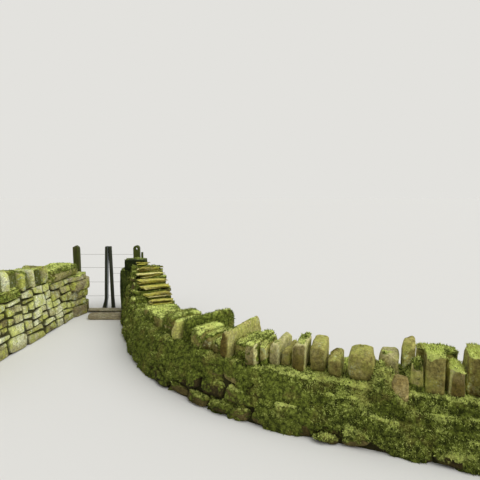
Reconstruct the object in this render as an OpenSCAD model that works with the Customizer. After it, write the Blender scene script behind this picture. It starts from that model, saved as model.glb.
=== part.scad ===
// Squeeze stile: a narrow gap between two dry stone walls, with a pair of timber uprights
// standing in it and a post and wire fence close behind. Millimetres, +Z up, the path is on
// the -Y side and the field on the +Y side. The origin is on the ground, midway across the
// gap, on the underside of the threshold slab.

/* [Gap] */
// Width of the gap between the two wall heads, at the ground
gap_w = 580; // [500:10:700]
// Depth of the gap, from the path side to the field side
gap_depth = 500; // [400:10:600]
// Height of the step stone
step_h = 75; // [50:5:110]
// Front of the step stone, ahead of the gap's middle
step_front = 455; // [400:5:500]
// Width of the step stone's tread
step_tread = 190; // [120:5:205]
// Length of the step stone, left of the gap's middle
step_left = 205; // [100:5:260]
// Height of the threshold slab at its front edge
slab_t = 55; // [45:1:80]
// Height of the threshold slab at its worn back edge
slab_back_t = 15; // [10:1:40]
// Front edge of the threshold slab, ahead of the gap's middle
slab_front = 80; // [60:5:100]
// Height of the shadow gap under the threshold slab's front edge
slab_undercut_h = 32; // [10:1:38]
// Depth of the shadow gap under the threshold slab's front edge
slab_undercut_d = 50; // [20:5:60]

/* [Timber uprights] */
// Height of the uprights' heads above the ground
upright_top = 1060; // [900:10:1200]
// Width of each upright
upright_w = 45; // [35:1:50]
// Depth of each upright
upright_d = 75; // [50:1:90]
// Space between the uprights at the head
upright_gap = 6; // [5:1:30]
// Middle of the pair at the head, left of the gap's middle
upright_off = 18; // [0:1:40]
// Height of the knee, where the feet start to splay
upright_knee = 170; // [120:5:250]
// Sideways run of the left upright from its head to its knee
left_lean = 38; // [10:1:60]
// Sideways run of the right upright from its head to its knee
right_lean = 16; // [5:1:40]
// Outward reach of the left upright's splayed foot
left_splay = 50; // [10:1:70]
// Outward reach of the right upright's foot
right_splay = 10; // [5:1:40]
// Height of the packing block at the head
packing_h = 115; // [60:5:200]

/* [Fence] */
// Width of a fence post
post_w = 100; // [75:1:130]
// Depth of a fence post
post_d = 90; // [70:1:120]
// Height of the fence posts
post_h = 1065; // [950:5:1200]
// Left post's centre, left of the gap's middle
post_left = 590; // [500:5:700]
// Right post's centre, right of the gap's middle
post_right = 435; // [410:5:500]
// Rise of the left post's pointed top
post_point = 28; // [5:1:60]
// Radius of the hole through the right post
post_hole_r = 22; // [10:1:35]
// Depth of the hole's centre below the right post's top
post_hole_drop = 55; // [45:1:90]
// Width of the short batten beside the right post
batten_w = 34; // [20:1:50]
// Height of the short batten
batten_h = 955; // [850:5:1050]
// Thickness of the short batten
batten_t = 30; // [15:1:50]
// Space between the right post and the batten
batten_gap = 30; // [10:1:60]
// Radius of a fence wire
wire_r = 2; // [1:0.25:4]
// Height of the lowest wire
wire_low = 180; // [120:5:220]
// Height of the second wire
wire_second = 425; // [350:5:500]
// Height of the third wire
wire_third = 675; // [620:5:750]
// Height of the top wire
wire_top = 905; // [850:5:930]
// Height of the short wire on the right
wire_short = 575; // [520:5:610]

/* [Right wall] */
// Width of the right wall at the ground
right_base_w = 650; // [600:10:800]
// Height of the right wall's walling, under its cope stones
right_core_h = 450; // [380:10:520]
// Length of the straight stretch next to the gap
straight_len = 1350; // [1250:10:1600]
// Radius of the bend, at the foot of the path face
bend_r = 3300; // [2800:10:4000]
// Angle that the bend turns through
bend_angle = 50; // [40:1:60]
// Length of the straight stretch beyond the bend
outer_len = 2150; // [1800:10:3000]
// Inward slope of the path face, as a share of its height
path_batter = 0.25; // [0.15:0.01:0.3]
// Inward slope of the field face, as a share of its height
field_batter = 0.05; // [0:0.01:0.1]
// Number of steps down from the gap to the low walling
tread_n = 7; // [5:1:8]
// Height of each step
tread_h = 60; // [50:1:70]
// Depth of each step
tread_d = 170; // [140:1:180]
// Thickness of the flat slab on each step
tread_slab_t = 45; // [30:1:48]
// Width of the stoop at the gap
stoop_w = 410; // [350:5:500]
// Height of the stoop
stoop_h = 735; // [650:5:800]
// Height of the block on the stoop
cap_h = 165; // [120:5:220]
// Width of the block on the stoop
cap_w = 320; // [280:5:325]
// Depth of the block on the stoop
cap_d = 220; // [180:5:300]
// Set-back of the block from the stoop's gap face
cap_inset = 80; // [20:5:85]
// Set-back of the flat slabs from the path face
tread_inset = 60; // [30:5:90]

/* [Left wall] */
// Length of the left wall's walling, beyond its head
left_len = 2700; // [2400:10:3500]
// Width of the left wall at the ground
left_base_w = 620; // [520:10:700]
// Inward slope of both faces, as a share of their height
left_batter = 0.12; // [0.05:0.01:0.16]
// Height of the bed under the end cope
left_bed_1 = 640; // [600:5:660]
// Height of the second bed
left_bed_2 = 690; // [670:5:720]
// Height of the third bed
left_bed_3 = 755; // [740:5:790]
// Height of the bed at the plain end
left_bed_4 = 800; // [795:5:850]
// Distance by which the walling stands back from the nose of the head
left_setback = 105; // [60:5:150]
// Distance by which the head's back corner stands back from its nose
head_back_in = 110; // [60:5:150]
// Width of the left wall's head
head_w = 480; // [420:10:560]
// Thickness of the end cope
end_cope_t = 195; // [150:5:240]
// Depth of the end cope across the wall
end_cope_depth = 425; // [340:5:440]
// Radius of the end cope's rounded end
end_cope_r = 150; // [60:5:180]

/* [Cope stones] */
// Depth across the wall of the left wall's upright copes
left_cope_d = 350; // [300:5:380]
// Depth across the wall of the outer copes of the right wall
outer_cope_d = 290; // [220:5:340]
// Set-back of the outer copes from the path face's foot
outer_cope_in = 140; // [125:5:160]
// Pitch of the outer copes along the right wall
outer_cope_pitch = 150; // [120:5:200]
// Pitch of the outer copes along the left wall
left_outer_pitch = 125; // [100:5:160]
// Clear space between neighbouring cope stones
cope_gap = 8; // [4:1:14]
// Width of the rounded edge of a cope stone
cope_edge = 16; // [8:1:24]
// Share of its width that a cope stone keeps at its top
cope_taper = 0.92; // [0.85:0.01:1]

/* [Hidden] */
$fn = 96;
COPES_RIGHT = 13;

// Plan of the right wall: distance s runs along the foot of the path face from the gap, and
// offset o runs in from that foot towards the field.
gap_x = gap_w / 2;
gap_y = gap_depth / 2;
right_start = [gap_x, -gap_y];
right_heading = -70;
outer_heading = right_heading + bend_angle;
bend_len = bend_r * bend_angle * PI / 180;
outer_start_s = straight_len + bend_len;
right_end_s = outer_start_s + outer_len;

function along(h) = [cos(h), sin(h)];
function inward(h) = [-sin(h), cos(h)];
bend_start = right_start + straight_len * along(right_heading);
bend_centre = bend_start + bend_r * inward(right_heading);
outer_start = bend_centre - bend_r * inward(outer_heading);

function right_at(s, o) =
    s <= straight_len ? right_start + s * along(right_heading) + o * inward(right_heading)
    : s >= outer_start_s
        ? outer_start + (s - outer_start_s) * along(outer_heading) + o * inward(outer_heading)
    : let (h = right_heading + (s - straight_len) / bend_r * 180 / PI)
        bend_centre - (bend_r - o) * inward(h);

// Plan of the left wall: its path face leans away from the gap by one in ten
left_heading = -95.7;
head_front = -gap_y - 100;
left_start = [-gap_x - left_setback, head_front];
left_side = along(left_heading - 90);
function left_at(s, o) = left_start + s * along(left_heading) + o * left_side;

// Plan of the left head's gap face, from the path side to the field side, with its nose a
// little ahead of the gap's middle
head_nose_y = -60;
head_face = [[-gap_x - left_setback, head_front], [-gap_x, head_nose_y], [-gap_x - 10, 0],
             [-gap_x - head_back_in, gap_y]];
function head_x(y) =
    let (k = y < head_face[1][1] ? 0 : y < head_face[2][1] ? 1 : 2,
         a = head_face[k], b = head_face[k + 1])
        a[0] + (b[0] - a[0]) * (y - a[1]) / (b[1] - a[1]);

// Sizes that several pieces share
steps_top = right_core_h + tread_n * tread_h;
fence_y = gap_y;
wire_y = fence_y + post_d + wire_r + 0.2;
upright_y = gap_y - upright_d;

// A closed solid through a stack of rings that all have the same number of points
module loft(rings) {
    n = len(rings[0]);
    m = len(rings);
    bottom = [for (i = [0:n - 1]) i];
    top = [for (i = [n - 1:-1:0]) (m - 1) * n + i];
    sides = [for (k = [0:m - 2], i = [0:n - 1])
        let (j = (i + 1) % n) [k * n + i, (k + 1) * n + i, (k + 1) * n + j, k * n + j]];
    polyhedron(points = [for (r = rings) each r], faces = concat([bottom], [top], sides));
}

// Corner cuts of a stone, irregular but always the same for one seed
function corner_cuts(size, seed) = rands(0.55 * size, 1.45 * size, 4, seed);

// Eight-sided outline of a stone between two distances and two offsets, corners cut
function stone_outline(s0, s1, o0, o1, c) = [
    [s0 + c[0], o0], [s1 - c[1], o0], [s1, o0 + c[1]], [s1, o1 - c[2]],
    [s1 - c[2], o1], [s0 + c[3], o1], [s0, o1 - c[3]], [s0, o0 + c[0]]];

// One level of a stone: its outline drawn in about its middle, moved along and lifted
function stone_ring(outline, mid, shrink, shift, z, side) = [
    for (p = outline)
        let (q = [mid[0] + (p[0] - mid[0]) * shrink[0] + shift, mid[1] + (p[1] - mid[1]) * shrink[1]],
             xy = side == "right" ? right_at(q[0], q[1]) : left_at(q[0], q[1]))
            [xy[0], xy[1], z]];

// A stone bedded on a wall: it stands from s0 to s1 along the wall and o0 to o1 across it,
// rises by h from the bed, leans along the wall and has rounded top edges. The rings are
// turned round on the left wall, where distance and offset run the other way round.
module bedded_stone(side, s0, s1, o0, o1, z, h, lean = 0, taper = cope_taper, edge = cope_edge, seed = 1) {
    c = corner_cuts(min(edge, (s1 - s0) / 4), seed);
    flat = stone_outline(s0, s1, o0, o1, c);
    outline = side == "right" ? flat : [for (i = [7:-1:0]) flat[i]];
    mid = [(s0 + s1) / 2, (o0 + o1) / 2];
    in_s = 1 - 2 * edge * 0.7 / (s1 - s0);
    in_o = 1 - 2 * edge / (o1 - o0);
    side_o = 0.5 + taper / 2;
    loft([
        stone_ring(outline, mid, [1, 1], 0, z, side),
        stone_ring(outline, mid, [(1 + taper) / 2, 1], lean * 0.45, z + h * 0.5, side),
        stone_ring(outline, mid, [taper, side_o], lean * 0.9, z + h - edge, side),
        stone_ring(outline, mid, [taper * in_s, side_o * in_o], lean, z + h, side)]);
}

// A squared block with cut upright corners, drawn from its lowest corner
module squared_block(at, size, edge, seed) {
    c = corner_cuts(edge, seed);
    x0 = at[0];
    y0 = at[1];
    flat = stone_outline(x0, x0 + size[0], y0, y0 + size[1], c);
    translate([0, 0, at[2]]) linear_extrude(size[2]) polygon(flat);
}

// Section of the right wall up to height h, with x as the offset from the path face's foot
module right_section(h) {
    polygon([[0, 0], [right_base_w, 0], [right_base_w - field_batter * h, h], [path_batter * h, h]]);
}

// A straight length of the right wall's section, from a plan point along a heading
module right_prism(start, heading, from_s, to_s, h) {
    translate([start[0], start[1], 0]) rotate([0, 0, heading]) translate([from_s, 0, 0])
        rotate([90, 0, 90]) linear_extrude(to_s - from_s) right_section(h);
}

// Distance along the wall at which step k ends, counted down from the gap
function tread_end(k) = 200 + tread_d * k;

// The walling between the stoop and the bend, stepping down from the gap
module right_wall_straight() color([0.36, 0.42, 0.16]) {
    difference() {
        union() {
            right_prism(right_start, right_heading, -200, straight_len, right_core_h);
            for (k = [0:tread_n - 1])
                right_prism(right_start, right_heading, -200, tread_end(k),
                            steps_top - k * tread_h - tread_slab_t);
        }
        translate([-2000, -gap_y, -10]) cube([6000, 2000, 3000]);
    }
}

// The walling round the bend
module right_wall_bend() color([0.34, 0.44, 0.14]) {
    translate([bend_centre[0], bend_centre[1], 0]) rotate([0, 0, right_heading - 90])
        rotate_extrude(angle = bend_angle)
            translate([bend_r, 0]) mirror([1, 0]) right_section(right_core_h);
}

// The walling beyond the bend, which ends plainly. The bare wedge stands in a pocket in its
// front edge.
module right_wall_outer() color([0.33, 0.45, 0.13]) {
    difference() {
        right_prism(outer_start, outer_heading, 0, outer_len, right_core_h);
        translate([outer_start[0], outer_start[1], right_core_h - wedge_sink])
            rotate([0, 0, outer_heading])
                translate([wedge_s - pocket_w / 2 - outer_start_s, -1, 0])
                    cube([pocket_w, wedge_back + 3, wedge_sink + 1]);
    }
}

// One flat slab on each step, its back against the riser. The lower ones lie further in from
// the path face, and all reach a little past the field face.
tread_draw = 20;
tread_past = 20;
module right_flat_slabs() color([0.62, 0.62, 0.32]) {
    for (k = [0:tread_n - 1]) {
        top = steps_top - k * tread_h;
        difference() {
            bedded_stone("right", k == 0 ? -120 : tread_end(k - 1), tread_end(k) - 4,
                         path_batter * top + tread_inset + tread_draw * k,
                         right_base_w - field_batter * top + tread_past,
                         top - tread_slab_t, tread_slab_t, taper = 0.99, edge = 10, seed = 20 + k);
            translate([-2000, -gap_y, 0]) cube([6000, 2000, 3000]);
        }
    }
}

// The tall stone that makes the right side of the gap
module right_stoop() color([0.17, 0.22, 0.08]) {
    squared_block([gap_x, -gap_y, 0], [stoop_w, gap_depth, stoop_h], 12, 3);
}

// The block that lies on the stoop
module right_stoop_cap() color([0.20, 0.27, 0.07]) {
    squared_block([gap_x + cap_inset, -gap_y, stoop_h], [cap_w, cap_d, cap_h], 14, 4);
}

// Cope stones of the right wall, counted from the gap. Each has its start and end along the
// wall, its front and back across it, its height and the lean of its top along the wall.
right_cope_sizes = [
    [2330, 2560, 170, 560, 200, 20],
    [2600, 2710, 125, 500, 190, 5],
    [2725, 2815, 180, 850, 215, 10],
    [2925, 3068, 130, 480, 180, 0],
    [3080, 3170, 140, 480, 160, 30],
    [3335, 3425, 115, 740, 250, 0],
    [3615, 3722, 110, 570, 195, 0],
    [4020, 4150, 180, 520, 230, 12],
    [4495, 4712, 125, 400, 270, 0],
    [4728, 4885, 190, 400, 240, 0],
    [4893, 4993, 235, 410, 355, 5],
    [5055, 5195, 125, 385, 300, 0],
    [5210, 5320, 125, 350, 215, 5]];

module right_cope(i) color([0.46 + 0.03 * (i % 4), 0.50 - 0.02 * (i % 3), 0.18]) {
    c = right_cope_sizes[i - 1];
    bedded_stone("right", c[0], c[1], c[2], c[3], right_core_h, c[4], lean = c[5], seed = 30 + i,
                 edge = i == 9 ? 40 : cope_edge);
}

// Lower and narrower stones between the large copes: start, end, front, back and height
small_cope_sizes = [
    [1560, 1760, 175, 600, 90],
    [1780, 2010, 165, 560, 110],
    [2030, 2300, 170, 600, 130],
    [2825, 2905, 200, 520, 120],
    [3190, 3320, 160, 520, 120],
    [3440, 3600, 180, 560, 150],
    [3735, 3795, 165, 480, 185],
    [3815, 3905, 185, 620, 190],
    [3925, 4005, 220, 560, 140],
    [4180, 4320, 240, 540, 230],
    [4335, 4455, 170, 480, 150],
    [4958, 5044, 125, 225, 250],
    [5005, 5320, 400, 560, 240]];

module right_small_copes() color([0.40, 0.47, 0.16]) {
    for (i = [0:len(small_cope_sizes) - 1]) {
        c = small_cope_sizes[i];
        bedded_stone("right", c[0], c[1], c[2], c[3], right_core_h, c[4], seed = 60 + i);
    }
}

// Cope stones beyond the last large one, as many as fit before the plain end, every other one
// set back a little
outer_cope_start = right_cope_sizes[COPES_RIGHT - 1][1] + 15;
outer_cope_n = floor((right_end_s - outer_cope_start) / outer_cope_pitch);
outer_cope_tops = [310, 250, 280, 230, 295, 260, 270];
module right_outer_copes() color([0.43, 0.49, 0.17]) {
    for (i = [0:outer_cope_n - 1]) {
        s0 = outer_cope_start + i * outer_cope_pitch;
        o0 = outer_cope_in + 2 * cope_edge * ((i + 1) % 2);
        bedded_stone("right", s0, s0 + outer_cope_pitch - cope_gap, o0, o0 + outer_cope_d,
                     right_core_h, outer_cope_tops[i % 7], lean = 6, seed = 80 + i);
    }
}

// The bare wedge of stone let into the front edge before the tallest cope, its thin end down
wedge_s = (right_cope_sizes[10][0] + right_cope_sizes[10][1]) / 2 - 38;
wedge_w = 85;
wedge_front = 88;
wedge_back = 172;
wedge_h = 170;
wedge_sink = 60;
wedge_flare = 1.35;
wedge_lean = -20;
pocket_w = wedge_w * wedge_flare + 2 * cope_gap;
module right_wedge_stone() color([0.55, 0.47, 0.30])
    bedded_stone("right", wedge_s - wedge_w / 2, wedge_s + wedge_w / 2, wedge_front, wedge_back,
                 right_core_h - wedge_sink, wedge_h, lean = wedge_lean, taper = wedge_flare, seed = 99);

// The walling of the left wall, its beds stepping up away from the gap
left_step_ends = [500, 1150, 1850, left_len];
left_beds = [left_bed_1, left_bed_2, left_bed_3, left_bed_4];
module left_section(h) {
    polygon([[0, 0], [left_base_w, 0], [left_base_w - left_batter * h, h], [left_batter * h, h]]);
}
module left_wall() color([0.55, 0.58, 0.34]) {
    difference() {
        union() {
            for (k = [0:3]) {
                from_s = k == 0 ? -200 : left_step_ends[k - 1];
                translate([left_start[0], left_start[1], 0]) rotate([0, 0, left_heading])
                    translate([from_s, 0, 0]) mirror([0, 1, 0]) rotate([90, 0, 90])
                    linear_extrude(left_step_ends[k] - from_s) left_section(left_beds[k]);
            }
        }
        translate([-4000, head_front, -10]) cube([6000, 2000, 3000]);
    }
}

// The head of the left wall: five stones from the ground up, each with its own reach into the
// gap, all following the head's plan
head_levels = [0, 160, 275, 410, 560, left_bed_1];
head_reach = [0, -45, -10, 25, -30];
head_colors = [[0.38, 0.37, 0.24], [0.62, 0.63, 0.42], [0.40, 0.37, 0.24], [0.52, 0.45, 0.33],
               [0.25, 0.28, 0.14]];
module head_stone(k) color(head_colors[k]) {
    far_x = -gap_x - head_w - 18 - 9 * k;
    face = [for (p = head_face) [p[0] + head_reach[k], p[1]]];
    translate([0, 0, head_levels[k]]) linear_extrude(head_levels[k + 1] - head_levels[k])
        polygon(concat(face, [[far_x, gap_y], [far_x, head_front]]));
}

// The large flat cope on the head: level rings from its bed to its top, drawn in along quarter
// rounds, widest at the end towards the gap
end_cope_from = -350;
end_cope_to = 485;
end_cope_in = 60;
module left_end_cope() color([0.45, 0.55, 0.10]) {
    loft([for (t = [0, 0.35, 0.6, 0.8, 0.93, 1])
        let (round_in = t < 0.35 ? 0 : 1 - sqrt(1 - pow((t - 0.35) / 0.65, 2)),
             s0 = end_cope_from + end_cope_r * round_in,
             s1 = end_cope_to - cope_edge * round_in,
             o0 = end_cope_in + 2 * cope_edge * round_in,
             o1 = end_cope_in + end_cope_depth - 3 * cope_edge * round_in,
             cut = end_cope_r * 0.5,
             flat = [[s0, o0 + cut], [s0, o1 - cut], [s0 + cut * 0.3, o1 - cut * 0.3], [s0 + cut, o1],
                     [s1 - cope_edge, o1], [s1, o1 - cope_edge], [s1, o0 + cope_edge],
                     [s1 - cope_edge, o0], [s0 + cut, o0], [s0 + cut * 0.3, o0 + cut * 0.3]])
            [for (p = flat) let (xy = left_at(p[0], p[1])) [xy[0], xy[1], left_bed_1 + end_cope_t * t]]]);
}

// Upright copes of the left wall: start, end, front, height and lean, from the gap out
left_cope_tan_size = [1045, 1138, 60, 235, 0];
left_cope_pale_size = [800, 910, 62, 235, 25];
left_cope_sizes = [
    [512, 565, 75, 225, 0],
    [575, 640, 70, 235, 0],
    [655, 785, 95, 215, 10],
    [935, 1030, 95, 220, 10],
    [1160, 1330, 110, 215, 0],
    [1340, 1440, 70, 235, 0],
    [1450, 1560, 95, 245, 0],
    [1570, 1690, 75, 225, 5],
    [1700, 1835, 90, 240, 0]];

function left_bed_at(s) =
    s < left_step_ends[0] ? left_beds[0] : s < left_step_ends[1] ? left_beds[1]
    : s < left_step_ends[2] ? left_beds[2] : left_beds[3];

module left_cope(c, seed) {
    bedded_stone("left", c[0], c[1], c[2], c[2] + left_cope_d, left_bed_at(c[0]), c[3], lean = c[4],
                 seed = seed);
}
module left_cope_tan() color([0.66, 0.58, 0.44]) left_cope(left_cope_tan_size, 52);
module left_cope_pale() color([0.64, 0.68, 0.52]) left_cope(left_cope_pale_size, 53);

// The plain end's copes follow the visible ones at an even pitch
left_outer_start = left_step_ends[2] + 6;
left_outer_n = floor((left_len - left_outer_start) / left_outer_pitch);
left_outer_tops = [225, 245, 215, 235];
module left_copes() color([0.48, 0.54, 0.28]) {
    for (i = [0:len(left_cope_sizes) - 1]) left_cope(left_cope_sizes[i], 110 + i);
    for (i = [0:left_outer_n - 1])
        left_cope([left_outer_start + i * left_outer_pitch,
                   left_outer_start + (i + 1) * left_outer_pitch - cope_gap,
                   75 + 20 * (i % 2), left_outer_tops[i % 4], 0], 130 + i);
}

// The threshold slab, wedged between the two heads: worn down towards its back edge, which
// meets the uprights' feet, and undercut along its front edge
module threshold_slab() color([0.42, 0.42, 0.38]) {
    plan = [[head_x(-slab_front), -slab_front], [gap_x, -slab_front], [gap_x, upright_y],
            [head_x(upright_y), upright_y], head_face[2], head_face[1]];
    reach = 2 * gap_w;
    difference() {
        linear_extrude(slab_t) polygon(plan);
        translate([reach / 2, 0, 0]) rotate([90, 0, -90]) linear_extrude(reach)
            polygon([[slab_front + 1, slab_t], [slab_front + 1, slab_t + 1], [-upright_y - 1, slab_t + 1],
                     [-upright_y - 1, slab_back_t], [-upright_y, slab_back_t], [slab_front, slab_t]]);
        translate([-reach / 2, -slab_front - 1, -1])
            cube([reach, slab_undercut_d + 1, slab_undercut_h + 1]);
    }
}

// The step stone before it, whose right end follows the stoop and the foot of the wall. Its
// top rises evenly from left to right and its front edge is dressed back.
step_skew = 45;
step_dress = 25;
step_rise = 0.13 * step_h;
module step_stone() color([0.55, 0.50, 0.40]) {
    back = -step_front + step_tread;
    foot_x = gap_x + (step_front - gap_y) / tan(-right_heading);
    plan = [[-step_left + step_skew, -step_front], [foot_x, -step_front], [gap_x, -gap_y],
            [gap_x - 60, back], [-step_left, back]];
    reach = 2 * (gap_w + step_left);
    difference() {
        linear_extrude(step_h) polygon(plan);
        rotate([90, 0, 0]) linear_extrude(step_front + 1)
            polygon([[-step_left - 1, step_h + 1], [-step_left - 1, step_h - step_rise],
                     [foot_x + 1, step_h], [foot_x + 1, step_h + 1]]);
        translate([reach / 2, 0, 0]) rotate([90, 0, -90]) linear_extrude(reach)
            polygon([[step_front + 1, step_h / 2], [step_front, step_h / 2],
                     [step_front - step_dress, step_h], [step_front - step_dress, step_h + 1],
                     [step_front + 1, step_h + 1]]);
    }
}

// One upright seen from the path: its inner edge at the head stands at x = 0, it leans out by
// lean to the knee and its foot splays out by splay
module upright_profile(lean, splay) {
    polygon([
        [0, upright_top], [-upright_w, upright_top],
        [-upright_w - lean, upright_knee], [-upright_w - lean - splay, 0],
        [-lean - splay * 0.4, 0], [-lean, upright_knee]]);
}
module upright(side, lean, splay) {
    translate([-upright_off, gap_y, 0]) rotate([90, 0, 0]) linear_extrude(upright_d)
        mirror([side, 0]) translate([-upright_gap / 2, 0]) upright_profile(lean, splay);
}
module gap_upright_left() color([0.13, 0.14, 0.09]) upright(0, left_lean, left_splay);
module gap_upright_right() color([0.16, 0.17, 0.12]) upright(1, right_lean, right_splay);

// The packing block that holds the two heads apart, tapered as the space between them is
module gap_packing_block() color([0.25, 0.27, 0.26]) {
    share = packing_h / (upright_top - upright_knee);
    half = upright_gap / 2;
    foot_z = upright_top - packing_h;
    translate([-upright_off, gap_y - 8, 0]) rotate([90, 0, 0]) linear_extrude(upright_d - 16)
        polygon([[-half, upright_top], [-half - left_lean * share, foot_z],
                 [half + right_lean * share, foot_z], [half, upright_top]]);
}

// The left fence post, with a low pointed top
module fence_post_left() color([0.22, 0.25, 0.06]) {
    translate([-post_left, fence_y + post_d, 0]) rotate([90, 0, 0]) linear_extrude(post_d)
        polygon([[-post_w / 2, 0], [post_w / 2, 0], [post_w / 2, post_h - post_point], [0, post_h],
                 [-post_w / 2, post_h - post_point]]);
}

// The right fence post, with an arched top and a round hole through it
module fence_post_right() color([0.25, 0.25, 0.09]) {
    difference() {
        union() {
            translate([post_right - post_w / 2, fence_y, 0]) cube([post_w, post_d, post_h - post_w / 2]);
            translate([post_right, fence_y + post_d, post_h - post_w / 2]) rotate([90, 0, 0])
                cylinder(r = post_w / 2, h = post_d);
        }
        translate([post_right, fence_y + post_d + 1, post_h - post_hole_drop]) rotate([90, 0, 0])
            cylinder(r = post_hole_r, h = post_d + 2);
    }
}

// The short batten that stands against the back of the stoop
module fence_batten() color([0.27, 0.26, 0.14]) {
    translate([post_right + post_w / 2 + batten_gap, fence_y, 0]) cube([batten_w, batten_t, batten_h]);
}

// A wire on the posts' field side, from x0 to x1 at height z
module wire(x0, x1, z) {
    translate([x0, wire_y, z]) rotate([0, 90, 0]) cylinder(r = wire_r, h = x1 - x0);
}
module fence_wires() color([0.30, 0.30, 0.28]) {
    x0 = -post_left - post_w / 2 + 5;
    x1 = post_right + post_w / 2 - 5;
    for (z = [wire_low, wire_second, wire_third, wire_top]) wire(x0, x1, z);
    wire(upright_gap / 2, x1, wire_short);
}

left_wall();
head_stone(0);  // left_head_foot_stone
head_stone(1);  // left_head_tilted_stone
head_stone(2);  // left_head_upright_stone
head_stone(3);  // left_head_projecting_stone
head_stone(4);  // left_head_thin_slab
left_end_cope();
left_cope_tan();
left_cope_pale();
left_copes();
right_wall_straight();
right_wall_bend();
right_wall_outer();
right_flat_slabs();
right_stoop();
right_stoop_cap();
for (i = [1:COPES_RIGHT])
    right_cope(i);
right_small_copes();
right_outer_copes();
right_wedge_stone();
threshold_slab();
step_stone();
gap_upright_left();
gap_upright_right();
gap_packing_block();
fence_post_left();
fence_post_right();
fence_batten();
fence_wires();
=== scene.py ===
"""Squeeze stile between two dry stone walls: rubble walling, cope stones, moss, timber and wire.

Each new piece is a surface worked out on a grid of two parameters, in metres, in the frame of
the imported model. Copes, head stones, slabs and timbers take their places and sizes from the
frame's own nodes. The stones of the walling are laid at random on the walls' faces.
"""

import logging
import math
from dataclasses import dataclass, field, replace
from enum import Enum
from typing import Callable, Mapping, Optional, Sequence, Union

import bpy
import numpy as np
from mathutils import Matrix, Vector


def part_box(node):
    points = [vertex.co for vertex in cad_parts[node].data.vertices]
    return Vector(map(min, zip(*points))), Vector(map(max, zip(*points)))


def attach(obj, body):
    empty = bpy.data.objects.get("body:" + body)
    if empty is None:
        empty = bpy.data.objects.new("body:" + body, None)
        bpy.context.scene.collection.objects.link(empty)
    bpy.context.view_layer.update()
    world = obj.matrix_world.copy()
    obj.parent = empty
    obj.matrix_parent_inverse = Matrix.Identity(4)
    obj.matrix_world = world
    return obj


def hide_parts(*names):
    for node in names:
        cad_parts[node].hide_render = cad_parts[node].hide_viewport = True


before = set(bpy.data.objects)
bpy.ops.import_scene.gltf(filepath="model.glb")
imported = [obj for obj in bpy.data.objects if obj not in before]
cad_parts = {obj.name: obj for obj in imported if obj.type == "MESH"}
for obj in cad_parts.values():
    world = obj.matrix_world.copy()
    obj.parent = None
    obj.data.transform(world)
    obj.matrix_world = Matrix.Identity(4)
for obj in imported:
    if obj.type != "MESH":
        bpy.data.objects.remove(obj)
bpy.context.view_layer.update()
LOG = logging.getLogger("stile")

Array = np.ndarray
Random = np.random.Generator
Socket = bpy.types.NodeSocket
Value = Union[float, tuple, Socket]

# Functions of distances along a wall, of places on its face and of places in space
Along = Callable[[Array], Array]
OnFace = Callable[[Array, Array], Array]
InSpace = Callable[[Array, Array, Array], Array]

# What the finishes read at each point of a surface, among them painted light on moss and timber, and painted
# shade mixed with soil on stone
MARKS = ("tone", "moss", "joint", "fresh_and_lit", "soil_and_shade")
SHARP_FROM = math.radians(42.0)

# Factors and masks that stir a lattice point's coordinates
HASH_FACTORS = (374761393, 668265263, 1440662683)
SEED_FACTOR = 974634777
STIR_FACTOR = 1274126177
LOW_32_BITS = 0xFFFFFFFF
LOW_24_BITS = 0xFFFFFF

# The most that three layers of noise come to, and the spacings of the noises in moss, in metres
LAYERED_SPAN = 1.6
MOSS_PATCHES = 0.28
MOSS_RAGGED = 0.05
MOSS_SHADES = 0.13
MOSS_LUMPS = 0.035


def srgb(red: float, green: float, blue: float) -> tuple:
    """Turns a colour as it is seen, 0 to 255 a channel, into linear light.

    Args:
        red, green, blue: the colour's channels.

    Returns:
        The linear colour with an alpha of 1.
    """
    seen = np.array([red, green, blue]) / 255.0
    linear = np.where(seen <= 0.04045, seen / 12.92, ((seen + 0.055) / 1.055) ** 2.4)
    return (float(linear[0]), float(linear[1]), float(linear[2]), 1.0)


def smoothstep(low: float, high: float, value: Array) -> Array:
    """Rises from 0 at low to 1 at high, as 3t^2 - 2t^3."""
    t = np.clip((value - low) / (high - low), 0.0, 1.0)
    return t * t * (3.0 - 2.0 * t)


def unit(vectors: Array) -> Array:
    """Vectors of the same directions, one long."""
    return vectors / (np.linalg.norm(vectors, axis=-1, keepdims=True) + 1e-12)


def lattice_hash(cell: Array, seed: int) -> Array:
    """Gives each whole lattice point a fixed pseudo-random number by mixing its coordinates.

    Args:
        cell: whole numbers, three to a point.
        seed: picks one of many lattices.

    Returns:
        Numbers from 0 to 1, one to a point.
    """
    mixed = sum(cell[..., k] * HASH_FACTORS[k] for k in range(3)) + seed * SEED_FACTOR
    mixed = mixed & LOW_32_BITS
    mixed = ((mixed ^ (mixed >> 13)) * STIR_FACTOR) & LOW_32_BITS
    mixed = mixed ^ (mixed >> 16)
    return (mixed & LOW_24_BITS) / float(LOW_24_BITS)


def value_noise(points: Array, size: float, seed: int) -> Array:
    """Smooth noise: the hashes of a lattice cell's eight corners, blended by smoothstep weights.

    Args:
        points: places, three coordinates each.
        size: the lattice's spacing.
        seed: picks the lattice.

    Returns:
        Numbers from -1 to 1.
    """
    scaled = points / size
    cell = np.floor(scaled).astype(np.int64)
    part = scaled - cell
    weight = part * part * (3.0 - 2.0 * part)
    total = np.zeros(points.shape[:-1])
    for corner in range(8):
        step = np.array([corner & 1, (corner >> 1) & 1, (corner >> 2) & 1])
        share = np.prod(np.where(step == 1, weight, 1.0 - weight), axis=-1)
        total += share * lattice_hash(cell + step, seed)
    return total * 2.0 - 1.0


def layered_noise(points: Array, size: float, seed: int, layers: int = 3) -> Array:
    """Sums layers of noise, each half the size and half the height of the one before.

    Args:
        points: places, three coordinates each.
        size: the first layer's spacing.
        seed: picks the lattices.
        layers: how many there are.

    Returns:
        Numbers from about -1 to 1.
    """
    total = np.zeros(points.shape[:-1])
    for layer in range(layers):
        total += 0.5 ** layer * value_noise(points, size / 2 ** layer, seed + 17 * layer)
    return total / LAYERED_SPAN


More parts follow.
